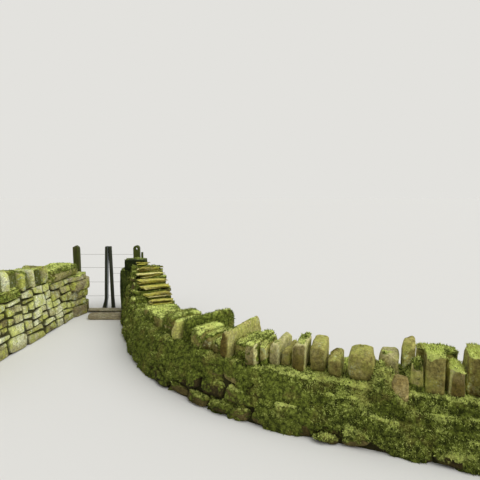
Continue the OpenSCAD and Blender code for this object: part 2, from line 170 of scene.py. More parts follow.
@dataclass
class Surface:
    """A mesh as arrays, with what its finish needs to know at each point.

    Fields:
        points: places, in metres.
        quads, tris: faces, as indices into points.
        marks: for each point and each of MARKS a number from 0 to 1. They say which of its
            colours a stone leans to, how much moss grows, how deep in a joint the point lies,
            how fresh the moss is and how much painted light brightens it, and how dark the
            stone is with soil, damp and painted shade.
    """

    points: Array
    quads: Array
    tris: Array
    marks: dict

    @staticmethod
    def join(parts: Sequence["Surface"]) -> "Surface":
        """Puts several surfaces into one, their faces shifted to the joined points."""
        starts = np.cumsum([0] + [len(p.points) for p in parts[:-1]])
        return Surface(
            np.concatenate([p.points for p in parts]),
            np.concatenate([p.quads + s for p, s in zip(parts, starts)]),
            np.concatenate([p.tris + s for p, s in zip(parts, starts)]),
            {key: np.concatenate([p.marks[key] for p in parts]) for key in MARKS})

    def triangles(self) -> Array:
        """All faces as triangles, each quad cut along one diagonal."""
        return np.concatenate([self.tris, self.quads[:, [0, 1, 2]], self.quads[:, [0, 2, 3]]])

    def normals(self) -> Array:
        """The unit normal at each point: the sum of its faces' normals, each as long as its area.

        Returns:
            One normal for each point.
        """
        faces = self.triangles()
        a, b, c = (self.points[faces[:, k]] for k in range(3))
        across = np.repeat(np.cross(b - a, c - a)[:, None], 3, 1).reshape(-1, 3)
        count = len(self.points)
        return unit(np.stack([np.bincount(faces.ravel(), across[:, k], count) for k in range(3)], -1))

    def turned_out(self) -> "Surface":
        """Turns the faces over if the volume that they enclose, a sum of a.(b x c)/6, is negative.

        Returns:
            The surface with its faces pointing outwards.
        """
        faces = self.triangles()
        a, b, c = (self.points[faces[:, k]] - self.points.mean(0) for k in range(3))
        if np.einsum("ij,ij->i", a, np.cross(b, c)).sum() < 0:
            self.quads = self.quads[:, ::-1]
            self.tris = self.tris[:, ::-1]
        return self


def ring_stack(rings: Array, tone: float = 0.5, joint: Optional[Array] = None) -> Surface:
    """Closes a stack of rings with a point in the middle of each end.

    Args:
        rings: places of rows by points by three.
        tone: the tone of the whole surface.
        joint: how deep in a joint each row lies, 0 if none is given.

    Returns:
        The closed surface, its rows joined by quads and its ends by fans of triangles.
    """
    rows, around = rings.shape[:2]
    points = np.concatenate([rings.reshape(-1, 3), rings[0].mean(0)[None], rings[-1].mean(0)[None]])
    row = np.arange(rows - 1)[:, None] * around
    here = np.arange(around)[None, :]
    after = (here + 1) % around
    quads = np.stack([row + here, row + after, row + around + after, row + around + here], -1)
    first, last = rows * around, rows * around + 1
    base = (rows - 1) * around
    tris = np.concatenate([
        np.stack([np.full(around, first), after[0], here[0]], -1),
        np.stack([np.full(around, last), base + here[0], base + after[0]], -1)])
    marks = {key: np.zeros(len(points)) for key in MARKS}
    marks["tone"] += tone
    if joint is not None:
        marks["joint"] = np.concatenate([np.repeat(joint, around), joint[:1], joint[-1:]])
    return Surface(points, quads.reshape(-1, 4), tris, marks).turned_out()


@dataclass(frozen=True)
class Growth:
    """How moss grows on a piece.

    Fields:
        cover: from 0, bare, to 1, all moss.
        lift: how much more grows on what faces up.
        patch: how far it comes and goes in wide patches.
        fresh_and_lit: how fresh the moss is, and how much painted light brightens it.
        foot: how much more grows at the foot of a stone.
    """

    cover: float = 0.3
    lift: float = 0.5
    patch: float = 0.6
    depth: float = 0.012
    fresh_and_lit: float = 0.1
    foot: float = 0.0

    def amount(self, points: Array, up: Array, cover: Array, seed: int) -> Array:
        """Moss at points with normals of height up: cover, up and two noises, by a smoothstep."""
        value = (cover * 2.0 - 1.0 + self.lift * up + self.patch * layered_noise(points, MOSS_PATCHES, seed)
                 + 0.35 * layered_noise(points, MOSS_RAGGED, seed + 5))
        return smoothstep(-0.25, 0.40, value)

    def grow(self, surface: Surface, seed: int, cover: Optional[Array] = None) -> Surface:
        """Raises a surface along its normals by the moss on it, in soft lumps.

        Args:
            surface: what it grows on.
            seed: picks the patches.
            cover: the cover at each point, if it isn't the same everywhere.

        Returns:
            The surface with its moss.
        """
        normals, points = surface.normals(), surface.points
        if cover is None:
            height = points[:, 2] - points[:, 2].min()
            cover = self.cover + self.foot * np.exp(-height / 0.06)
        moss = self.amount(points, normals[:, 2], cover, seed)
        surface.marks["moss"] = moss
        # Painted light: moss is marked brighter the more it faces up, as if lit from above, on top of its
        # freshness and a noise
        surface.marks["fresh_and_lit"] = np.clip(
            self.fresh_and_lit + 0.55 * normals[:, 2] + 0.40 * layered_noise(points, MOSS_SHADES, seed + 8),
            0.0, 1.0)
        lumps = 0.65 + 0.35 * layered_noise(points, MOSS_LUMPS, seed + 9)
        surface.points = points + normals * (moss * self.depth * lumps)[:, None]
        return surface


def chipped(points: Array, chips: int, depth: float, rng: Random) -> Array:
    """Cuts corners and edges off a stone with flat planes.

    Each plane has a slanting normal n and stands depth or less inside the furthest point along
    n; what lies beyond it by t moves back by t along n, so that it ends on the plane.

    Args:
        points: the stone's points.
        chips: how many planes cut it.
        depth: the deepest cut.
        rng: where the planes come from.

    Returns:
        The points after the cuts.
    """
    middle = points.reshape(-1, 3).mean(0)
    local = points - middle
    for _ in range(chips):
        normal = rng.normal(size=3) * np.array([1.0, 1.0, 0.7]) + np.array([0.0, 0.0, 0.25])
        normal /= np.linalg.norm(normal)
        reach = local @ normal
        cut = reach.max() - depth * rng.uniform(0.25, 1.0)
        local = local - np.clip(reach - cut, 0.0, None)[..., None] * normal
    return local + middle


@dataclass(frozen=True)
class Wear:
    """How a stone is worn.

    Fields:
        around: points round it.
        side_rows: rows up its sides.
        edge: radius of its top and bottom edges.
        chips, chip_depth: flat cuts at its corners, and the deepest.
        lump, lump_size: height and size of its unevenness.
        soften: how many times its outline is smoothed.
        soil_and_shade, front_soil_and_shade: how dark it is with soil and painted shade all over,
            and on its end towards the path.
    """

    around: int = 44
    side_rows: int = 10
    edge: float = 0.012
    chips: int = 8
    chip_depth: float = 0.022
    lump: float = 0.006
    lump_size: float = 0.10
    soften: int = 1
    growth: Optional[Growth] = Growth()
    soil_and_shade: float = 0.0
    front_soil_and_shade: float = 0.0


def convex_outline(points: Array) -> Array:
    """The corners of the convex outline round some plan points, counterclockwise.

    Args:
        points: plan points, in any order.

    Returns:
        The corners.
    """
    ordered = sorted({(round(float(x), 5), round(float(y), 5)) for x, y in points})

    def half(path: Sequence[tuple]) -> list:
        """One side of the outline: drops each point that turns the wrong way."""
        kept: list = []
        for p in path:
            while len(kept) > 1 and ((kept[-1][0] - kept[-2][0]) * (p[1] - kept[-2][1])
                                     - (kept[-1][1] - kept[-2][1]) * (p[0] - kept[-2][0])) <= 1e-9:
                kept.pop()
            kept.append(p)
        return kept[:-1]

    return np.array(half(ordered) + half(ordered[::-1]))


def clip_outline(outline: Array, normal: Array, offset: float) -> Array:
    """Keeps the part of a convex outline where a plan point p has p.normal >= offset.

    Args:
        outline: its corners.
        normal, offset: the line.

    Returns:
        The corners of the part that is kept.
    """
    kept = []
    for k, a in enumerate(outline):
        b = outline[(k + 1) % len(outline)]
        da, db = a @ normal - offset, b @ normal - offset
        if da >= 0:
            kept.append(a)
        if (da >= 0) != (db >= 0):
            kept.append(a + (b - a) * da / (da - db))
    return np.array(kept)


def walk_outline(outline: Array, around: int, start: float) -> Array:
    """Points at even distances along a closed outline.

    Args:
        outline: its corners.
        around: how many points.
        start: where the first one lies, as a share of the way round.

    Returns:
        The points, in the outline's own order.
    """
    closed = np.concatenate([outline, outline[:1]])
    way = np.concatenate([[0.0], np.cumsum(np.linalg.norm(np.diff(closed, axis=0), axis=1))])
    at = (start + np.arange(around) / around) % 1.0 * way[-1]
    return np.stack([np.interp(at, way, closed[:, k]) for k in range(2)], -1)


def reach_along(outline: Array, centre: Array, toward: Array) -> Array:
    """How far a convex outline lies from its centre along some directions.

    Each edge's line is met where the direction d satisfies d.n = (corner - centre).n, with n the
    edge's outward normal, and the nearest meeting ahead is the outline.

    Args:
        outline, centre: the outline's corners and a point inside it.
        toward: unit directions.

    Returns:
        The distances.
    """
    edge = np.roll(outline, -1, axis=0) - outline
    normal = np.stack([edge[:, 1], -edge[:, 0]], -1)
    offset = ((outline - centre) * normal).sum(1)
    speed = toward @ normal.T
    meets = np.where(speed > 1e-9, offset[None, :] / np.where(speed > 1e-9, speed, 1.0), np.inf)
    return meets.min(1)


def between(z: Array, heights: Array, values: Array) -> Array:
    """Values at some heights, each on the straight line between the levels under and over it.

    Args:
        z: the heights.
        heights, values: the levels' heights and, for each, a row of values.

    Returns:
        A row of values for each height.
    """
    under = np.searchsorted(heights, z, side="right") - 1
    over = np.minimum(under + 1, len(heights) - 1)
    apart = np.where(over > under, heights[over] - heights[under], 1.0)[:, None]
    return values[under] + (values[over] - values[under]) / apart * (z - heights[under])[:, None]


def edge_rows(low: float, high: float, edge: float, side_rows: int) -> Array:
    """Rows of a block from the middle of its underside, up its side, to the middle of its top.

    Quarter rounds draw the side in at both ends, and the end rows shrink towards the middle.

    Args:
        low, high: heights of its underside and its top.
        edge: radius of the quarter rounds.
        side_rows: rows between them.

    Returns:
        Height, inset and share of the way out of each row.
    """
    turn = np.array([0.0, 0.3, 0.62, 1.0]) * math.pi / 2
    rise, draw = edge * (1 - np.cos(turn)), edge * (1 - np.sin(turn))
    rows = [(low, edge, share) for share in (0.5, 0.82)]
    rows += [(low + r, d, 1.0) for r, d in zip(rise, draw)]
    rows += [(z, 0.0, 1.0) for z in np.linspace(low + edge, high - edge, side_rows + 2)[1:-1]]
    rows += [(high - r, d, 1.0) for r, d in zip(rise[::-1], draw[::-1])]
    return np.array(rows + [(high, edge, share) for share in (0.8, 0.58, 0.34, 0.14)])


@dataclass
class Block:
    """A stone or timber given by level outlines from its bottom to its top.

    Fields:
        levels: heights and convex outlines, from the bottom up.
        roof: gives the height of a point from its plan place and its share of the height.
    """

    levels: list
    roof: Optional[InSpace] = None

    @staticmethod
    def of_solid(points: Array) -> "Block":
        """Reads the level outlines from a frame solid whose corners lie in level rings.

        Args:
            points: the solid's corners.

        Returns:
            The block.
        """
        levels = []
        for height in np.unique(np.round(points[:, 2], 4)):
            outline = convex_outline(points[np.abs(points[:, 2] - height) < 2e-4][:, :2])
            if len(outline) > 2:
                levels.append((float(height), outline))
        return Block(levels)

    @staticmethod
    def from_ground(node: str, tall: float, roof: InSpace) -> "Block":
        """Stands a node's outline on the ground, up to a height, under a roof."""
        outline = convex_outline(solids_of(node)[0][:, :2])
        return Block([(0.0, outline), (tall, outline)], roof)

    def rings(self, wear: Wear, rng: Random) -> Array:
        """Works out the block's rings before wear.

        The bottom outline is walked at even distances and smoothed. Each row takes its outline
        between the two levels round its height, as edge_rows draws it in.

        Args:
            wear: the grid and the edge's radius.
            rng: where the walk starts.

        Returns:
            The rings, rows by points by three.
        """
        low, high = self.levels[0][0], self.levels[-1][0]
        heights = np.array([h for h, _ in self.levels])
        centres = np.array([o.mean(0) for _, o in self.levels])
        walked = walk_outline(self.levels[0][1], wear.around, rng.uniform())
        for _ in range(wear.soften):
            walked = 0.7 * walked + 0.15 * (np.roll(walked, 1, 0) + np.roll(walked, -1, 0))
        toward = walked - centres[0]
        reach = np.linalg.norm(toward, axis=1)
        toward /= reach[:, None]
        softened = reach / reach_along(self.levels[0][1], centres[0], toward)
        spans = np.array([reach_along(o, c, toward) * softened for (_, o), c in zip(self.levels, centres)])
        edge = min(wear.edge, (high - low) * 0.4, reach.min() * 0.85)
        z, inset, share = edge_rows(low, high, edge, wear.side_rows).T
        span = (between(z, heights, spans) - inset[:, None]) * share[:, None]
        plan = between(z, heights, centres)[:, None] + toward * span[..., None]
        rings = np.concatenate([plan, np.repeat(z[:, None, None], wear.around, 1)], -1)
        if self.roof is not None:
            rings[..., 2] = self.roof(rings[..., 0], rings[..., 1], (rings[..., 2] - low) / (high - low))
        return rings

    def surface(self, wear: Wear, seed: int, inner: tuple = (0.0, 0.0)) -> Surface:
        """The worn block: its rings, chipped by planes, made uneven and grown over with moss.

        Args:
            wear: how it is worn.
            seed: picks its chips and lumps.
            inner: a plan point on the field side, from which the path side is turned away.

        Returns:
            The closed surface.
        """
        rng = np.random.default_rng(seed)
        rings = chipped(self.rings(wear, rng), wear.chips, wear.chip_depth, rng)
        stone = ring_stack(rings, rng.uniform())
        points, normals = stone.points, stone.normals()
        low, high = self.levels[0][0], self.levels[-1][0]
        # Soil and painted shade: the stone is darkened all over, and more on its end towards the path, most
        # towards its foot
        out = unit(points[:, :2].mean(0) - np.array(inner))
        front = smoothstep(0.25, 0.85, normals[:, :2] @ out)
        share = np.clip((points[:, 2] - low) / (high - low), 0.0, 1.0)
        stone.marks["soil_and_shade"] = np.clip(wear.soil_and_shade + wear.front_soil_and_shade * front * (1.2 - 0.4 * share), 0.0, 1.0)
        uneven = layered_noise(points, wear.lump_size, seed) - 0.3
        grit = layered_noise(points, wear.lump_size * 0.22, seed + 3, 2)
        stone.points = points + normals * (wear.lump * (uneven + 0.3 * grit))[:, None]
        if wear.growth is not None:
            stone = wear.growth.grow(stone, seed + 40)
        stone.points[:, 2] = np.maximum(stone.points[:, 2], low)
        return stone


def solids_of(node: str) -> list:
    """The corner points of each separate solid in a frame node.

    Points that share a place are one. Each face passes the lowest number of its points on to
    the others until no number changes, and a solid is what then shares a number.

    Args:
        node: the node's name.

    Returns:
        One array of corners for each solid, in the order of their place in the node.
    """
    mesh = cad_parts[node].data
    mesh.calc_loop_triangles()
    raw = np.empty(len(mesh.vertices) * 3, np.float32)
    mesh.vertices.foreach_get("co", raw)
    corners = np.empty(len(mesh.loop_triangles) * 3, np.int32)
    mesh.loop_triangles.foreach_get("vertices", corners)
    places, number = np.unique(np.round(raw.reshape(-1, 3), 5), axis=0, return_inverse=True)
    faces = number.reshape(-1)[corners].reshape(-1, 3)
    label, settled = np.arange(len(places)), False
    while not settled:
        updated = label.copy()
        for k in range(3):
            np.minimum.at(updated, faces[:, k], label[faces].min(1))
        settled = bool((updated == label).all())
        label = updated
    return [places[label == name].astype(float) for name in np.unique(label)]


@dataclass(frozen=True)
class Plan:
    """Plan of a wall: s runs along the foot of its path face, o in from that foot.

    The wall runs straight, bends on an arc and runs straight again.

    Fields:
        straight, radius, turn, outer: its straight length, its bend and what follows.
        side: 1 if the wall lies to the left of its own way, -1 if to the right.
    """

    start: tuple
    heading: float
    straight: float
    radius: float = 1.0
    turn: float = 0.0
    outer: float = 0.0
    side: int = 1

    @property
    def bend_end(self) -> float:
        """Distance at which the bend ends."""
        return self.straight + self.radius * self.turn

    @property
    def length(self) -> float:
        """Length of the whole wall along its foot."""
        return self.bend_end + self.outer

    def place(self, s: Array, o: Array) -> Array:
        """Plan points for distances and offsets.

        The heading grows by s/radius along the bend. The foot is the integral of the heading's
        unit vector, which on the arc is radius times the change of its sine and cosine.

        Args:
            s, o: distances along the foot and offsets in from it.

        Returns:
            The plan points.
        """
        heading = self.heading + np.clip((s - self.straight) / self.radius, 0.0, self.turn)
        first = np.minimum(s, self.straight)
        last = np.maximum(s - self.bend_end, 0.0)
        x = (self.start[0] + first * math.cos(self.heading) + last * np.cos(heading)
             + self.radius * (np.sin(heading) - math.sin(self.heading)))
        y = (self.start[1] + first * math.sin(self.heading) + last * np.sin(heading)
             - self.radius * (np.cos(heading) - math.cos(self.heading)))
        return np.stack([x - np.sin(heading) * o * self.side, y + np.cos(heading) * o * self.side], -1)


class Face(Enum):
    """The faces of a wall."""

    PATH = "path"
    FIELD = "field"
    END = "end"
    START = "start"


@dataclass(frozen=True)
class WallBody:
    """The walling of a wall, under its copes.

    Fields:
        near_batter, far_batter: how its path and field faces lean in, as shares of the height.
        top: its height at a distance along it.
        skew: how much further along it starts for each metre in from the path face.
    """

    plan: Plan
    width: float
    near_batter: float
    far_batter: float
    top: Along
    skew: float

    def place(self, face: Face, a: Array, z: Array, d: Array) -> Array:
        """Places on a face: a along it, z up it and d out from it.

        The side faces lean by their batter, so that d leads out and up. On the two ends, a
        runs across the wall as at the ground and is drawn in with the height.

        Args:
            face: which face.
            a, z, d: the places on it.

        Returns:
            The places in space.
        """
        if face in (Face.END, Face.START):
            o = self.near_batter * z + a * (1 - (self.near_batter + self.far_batter) * z / self.width)
            s = self.plan.length + d if face is Face.END else self.skew * o - d
        else:
            near = face is Face.PATH
            batter = self.near_batter if near else self.far_batter
            lean = math.atan(batter)
            inward = batter * z - d * math.cos(lean)
            o = inward if near else self.width - inward
            s = np.maximum(a, self.skew * o + 0.004)
            z = z + d * math.sin(lean)
        return np.concatenate([self.plan.place(s, o), z[..., None]], -1)


@dataclass(frozen=True)
class Rubble:
    """The stones of a face.

    Fields:
        narrow, wide: the least and greatest width.
        thin, thick: the least and greatest height.
        proud: how far single stones stand out or back.
        bulge: how far a stone's middle stands out.
        warp: how far the joints wander.
        corner: how far a stone's corners are drawn in, as a share of its size.
        square: how square its outline is: 2 is an ellipse.
        turn: how far it is turned on the face.
        behind: how far the joints reach back.
    """

    narrow: float = 0.14
    wide: float = 0.38
    thin: float = 0.07
    thick: float = 0.17
    joint: float = 0.007
    proud: float = 0.014
    bulge: float = 0.015
    warp: float = 0.035
    corner: float = 0.5
    square: float = 7.0
    turn: float = 0.05
    rough: float = 0.005
    behind: float = 0.032


def lay_stones(length: float, top: Along, rubble: Rubble, rng: Random) -> list:
    """Fills a face with stones, always in its lowest open place.

    The face is a row of narrow cells, each with the height laid so far. A stone takes some
    cells of the lowest run and raises them all to one height, which is that of a neighbour
    where that is near, and the wall's top where little is left.

    Args:
        length: length of the face.
        top: height of the face at a distance along it.
        rubble: the sizes of the stones.
        rng: where the sizes come from.

    Returns:
        Stones as left, right, low and high edges.
    """
    cell = 0.01
    count = int(round(length / cell))
    roof = top((np.arange(count) + 0.5) * cell)
    laid = np.zeros(count)
    stones = []
    while (laid < roof - 1e-6).any():
        open_height = np.where(laid < roof - 1e-6, laid, np.inf)
        low = open_height.min()
        first = int(np.argmax(open_height <= low + 1e-6))
        last = first
        while last < count and abs(laid[last] - low) < 1e-6 and abs(roof[last] - roof[first]) < 1e-6:
            last += 1
        cells = last - first
        wanted = int(rng.uniform(rubble.narrow, rubble.wide) / cell)
        if cells <= wanted * 1.3:
            take = cells if cells * cell <= rubble.wide * 1.15 else cells // 2
        else:
            take = wanted if (cells - wanted) * cell > rubble.narrow * 0.8 else cells // 2
        begin = first if rng.uniform() < 0.5 else last - take
        high = low + rng.uniform(rubble.thin, rubble.thick) * (0.75 + 0.35 * take * cell / rubble.wide)
        sides = [laid[k] for k in (begin - 1, begin + take) if 0 <= k < count]
        for side in sides:
            if side > low + rubble.thin * 0.7 and abs(side - high) < rubble.thin * 0.5:
                high = side
        if roof[first] - high < rubble.thin * 0.8:
            high = roof[first]
        laid[begin:begin + take] = high
        stones.append((begin * cell, (begin + take) * cell, low, high))
    return stones


def stone_outline(rubble: Rubble, around: int, rng: Random) -> tuple:
    """Outline of a stone of a face, seen from its front, from about -1 to 1 both ways.

    It is a superellipse |x|^p + |z|^p = 1 whose four corners are drawn in by different shares.

    Args:
        rubble: how square it is and how far its corners are drawn in.
        around: how many points it has.
        rng: where its shape comes from.

    Returns:
        Its points' places across and up.
    """
    angle = (np.arange(around) + 0.5) / around * 2 * math.pi
    power = 2.0 / rng.uniform(0.6 * rubble.square, 1.4 * rubble.square)
    x, z = (np.sign(way) * np.abs(way) ** power for way in (np.cos(angle), np.sin(angle)))
    drawn = rng.uniform(0.0, 1.0, (2, 2, 2)) ** 2.2 * rubble.corner
    corner = np.stack([np.stack([(1 + i * x) * (1 + j * z) / 4 for j in (-1, 1)]) for i in (-1, 1)])
    pull_x, pull_z = ((corner * pull[..., None]).sum((0, 1)) for pull in drawn)
    return x * (1 - 0.6 * pull_x), z * (1 - pull_z)


def face_stone(box: tuple, place: InSpace, rubble: Rubble, wander: Callable[[Array, Array], tuple],
               seed: int) -> Surface:
    """One stone of a face: a rounded box seen from its front, its front cut by tilted planes.

    Rows of its outline lead from behind the face over a worn edge to the crowned middle. The
    front is the lowest of the crown and three tilted planes, and noise roughens the whole.

    Args:
        box: left, right, low and high edges on the face.
        place: turns face places into space.
        rubble: the joints and relief.
        wander: how the joints wander, for places on the face.
        seed: picks the stone's shape.

    Returns:
        The stone, in space.
    """
    rng = np.random.default_rng(seed)
    left, right, low, high = box
    half_a, half_z = (right - left - rubble.joint) / 2, (high - low - rubble.joint) / 2
    x, z = stone_outline(rubble, around=24, rng=rng)
    small = min(half_a, half_z)
    proud = rng.uniform(-rubble.proud, rubble.proud)
    crown = rubble.bulge * rng.uniform(0.5, 1.3)
    rows = [(0.86, -0.080, 1.0), (0.97, -0.055, 1.0), (1.0, -0.026, 0.8), (1.0, -0.009, 0.45),
            (1 - 0.003 / small, -0.001, 0.15), (1 - 0.010 / small, 0.10 * crown, 0.0),
            (0.74, 0.55 * crown, 0.0), (0.50, 0.80 * crown, 0.0), (0.28, 0.95 * crown, 0.0),
            (0.09, crown, 0.0)]
    share, depth, joint = np.array(rows).T[..., None]
    tilt = rng.uniform(-0.20, 0.20, (3, 2))
    level = crown * rng.uniform(0.35, 0.9, 3)
    turn = rng.uniform(-rubble.turn, rubble.turn)
    a, b = x * share * half_a, z * share * half_z
    a, b = a * math.cos(turn) - b * math.sin(turn), a * math.sin(turn) + b * math.cos(turn)
    planes = (level + tilt[:, 0] * a[..., None] + tilt[:, 1] * b[..., None]).min(-1)
    front = np.where(depth >= 0, np.maximum(np.minimum(depth, planes), -0.007), depth)
    front = front + np.where(depth > -0.05, proud, 0.0)
    a, b = (left + right) / 2 + a, (low + high) / 2 + b
    shift_a, shift_z = wander(a, b)
    placed = place(a + shift_a, np.maximum(b + shift_z, 0.0), front)
    stone = ring_stack(placed, rng.uniform(), joint[:, 0])
    rough = rubble.rough * (layered_noise(stone.points, 0.055, seed)
                            + 0.4 * value_noise(stone.points, 0.014, seed + 1))
    stone.points = stone.points + stone.normals() * rough[:, None]
    stone.points[:, 2] = np.maximum(stone.points[:, 2], 0.0)
    return stone


def joint_wander(amount: float, seed: int, top: Along) -> Callable[[Array, Array], tuple]:
    """Makes the function by which a face's joints wander: noise that fades at ground and top.

    Args:
        amount: how far they wander.
        seed: picks the noise.
        top: height of the face at a distance along it.

    Returns:
        A function from places on the face to shifts along and up it.
    """

    def wander(a: Array, z: Array) -> tuple:
        """Shifts along and up the face."""
        at = np.stack([a, z, np.zeros_like(a)], -1)
        fade = smoothstep(0.0, 0.05, z) * smoothstep(0.0, 0.05, top(a) - z)
        return (amount * layered_noise(at, 0.22, seed, 2),
                amount * layered_noise(at, 0.26, seed + 7, 2) * fade)

    return wander


@dataclass
class Walling:
    """The walling of one wall: stones on each face over a rough core that moss fills out.

    Fields:
        cover: share of moss for distances along and heights up the path face.
        soil_and_shade: how dark with soil and painted shade the stones are at a height.
        fresh_and_lit: how fresh the moss is at a distance along the wall, and how much painted
            light brightens it.
        heap: how high moss stands, for distances along the wall and offsets in from its foot.
        coarser: factors on the least and greatest width of stones off the path face.
        row: spacing of the core's rows along the wall.
    """

    body: WallBody
    rubble: Rubble
    growth: Growth
    cover: OnFace
    soil_and_shade: Along
    fresh_and_lit: Along
    heap: OnFace
    seed: int
    coarser: tuple = (1.3, 1.2)
    row: float = 0.016

    def face_stones(self, face: Face) -> list:
        """Lays and shapes the stones of a face.

        Args:
            face: which face.

        Returns:
            Pairs of a stone's middle distance along the wall and its surface.
        """
        body, rubble = self.body, self.rubble
        rng = np.random.default_rng(self.seed + list(Face).index(face))
        at_end = face in (Face.END, Face.START)
        end = body.plan.length if face is Face.END else 0.0
        end_top = float(body.top(np.array([abs(end - 0.01)]))[0])
        top = (lambda a: np.full_like(a, end_top)) if at_end else body.top
        wander = joint_wander(rubble.warp, self.seed + 3, top)
        if face is not Face.PATH:
            narrow, wide = self.coarser
            rubble = replace(rubble, narrow=rubble.narrow * narrow, wide=rubble.wide * wide)
        boxes = lay_stones(body.width if at_end else body.plan.length, top, rubble, rng)
        found = []
        for index, box in enumerate(boxes):
            stone = face_stone(box, lambda a, z, d: body.place(face, a, z, d), rubble, wander,
                               self.seed * 1000 + index)
            middle = np.array([(box[0] + box[1]) / 2])
            cover = np.full(len(stone.points), self.growth.cover)
            if face is Face.PATH:
                cover = self.cover(middle, stone.points[:, 2])
            growth = replace(self.growth, fresh_and_lit=float(self.fresh_and_lit(middle)[0]))
            stone = growth.grow(stone, self.seed + 50, cover)
            stone.points[:, 2] = np.maximum(stone.points[:, 2], 0.0)
            # Soil and painted shade, darker towards the ground
            stone.marks["soil_and_shade"] = self.soil_and_shade(stone.points[:, 2])
            found.append((end if at_end else middle[0], stone))
        return found

    def section(self, along: Array) -> tuple:
        """The core's sections: up the path face, over the top and down the field face.

        Args:
            along: their distances along the wall.

        Returns:
            Distances, offsets and heights of the points, sections by points, and for each point
            of a section -1 on the path face, 0 on the top and 1 on the field face.
        """
        body = self.body
        tall = body.top(along)[:, None]
        up, over = np.linspace(0.0, 1.0, 30), np.linspace(0.0, 1.0, 32)[1:-1]
        near_z, far_z = tall * up[None], tall * up[None, ::-1]
        near_o, far_o = body.near_batter * near_z, body.width - body.far_batter * far_z
        top_o = near_o[:, -1:] + (far_o[:, :1] - near_o[:, -1:]) * over[None]
        o = np.concatenate([near_o, top_o, far_o], 1)
        z = np.concatenate([near_z, np.repeat(tall, len(over), 1), far_z], 1)
        outward = np.repeat([-1.0, 0.0, 1.0], [len(up), len(over), len(up)])[None]
        return np.repeat(along[:, None], o.shape[1], 1), o, z, outward

    def core(self, begin: float, end: float) -> Surface:
        """The core between two distances: a section carried along the wall.

        It lies a few centimetres behind the stones, and rises out of the joints where the moss
        is thick. At a step of the top two sections stand close together, and the wall's own
        ends stand back behind the stones there.

        Args:
            begin, end: distances along the wall.

        Returns:
            The closed surface.
        """
        body, back, step = self.body, self.rubble.behind, 0.001
        stop = end - back if end >= body.plan.length - 1e-6 else end
        along = np.linspace(begin, stop, int((stop - begin) / self.row))
        jumps = (along[:-1] + along[1:])[np.abs(np.diff(body.top(along))) > 1e-4] / 2
        s, o, z, outward = self.section(np.sort(np.concatenate([along, jumps - step, jumps + step])))
        flat = np.concatenate([body.plan.place(s, o), z[..., None]], -1)
        top = outward == 0
        cover = np.where(outward < 0, self.cover(s, z), np.where(top, 0.5, self.growth.cover))
        amount = self.growth.amount(flat, np.where(top, 1.0, 0.15) + 0.0 * z, cover, self.seed + 50)
        thick = smoothstep(0.42, 0.95, amount)
        lump = (layered_noise(flat, 0.075, self.seed + 21)
                + 0.5 * layered_noise(flat, 0.02, self.seed + 31, 2))
        heap = self.heap(s, o)
        over = -0.014 + 0.007 * lump + heap * smoothstep(0.3, 0.9, amount) * (0.8 + 0.5 * lump)
        aside = -back + 0.006 * lump + (back + 0.45 * heap * (1 + 0.7 * lump)) * thick
        o = o + outward * aside
        z = np.maximum(z + np.where(top, over, 0.0), 0.0)
        s = np.maximum(s, body.skew * o + back)
        core = ring_stack(np.concatenate([body.plan.place(s, o), z[..., None]], -1), 0.25)
        ends = np.zeros(2)
        core.marks["moss"] = np.concatenate([amount.ravel(), ends])
        core.marks["joint"] = np.concatenate([np.where(top, 0.35, 1.0 - thick).ravel(), ends + 1.0])
        # Soil and painted shade towards the ground, and painted light on moss that faces up
        core.marks["soil_and_shade"] = self.soil_and_shade(core.points[:, 2])
        fresh_and_lit = np.concatenate([self.fresh_and_lit(s).ravel(), ends])
        core.marks["fresh_and_lit"] = np.clip(
            fresh_and_lit + 0.45 * core.normals()[:, 2]
            + 0.40 * layered_noise(core.points, MOSS_SHADES, self.seed + 58), 0.0, 1.0)
        return core


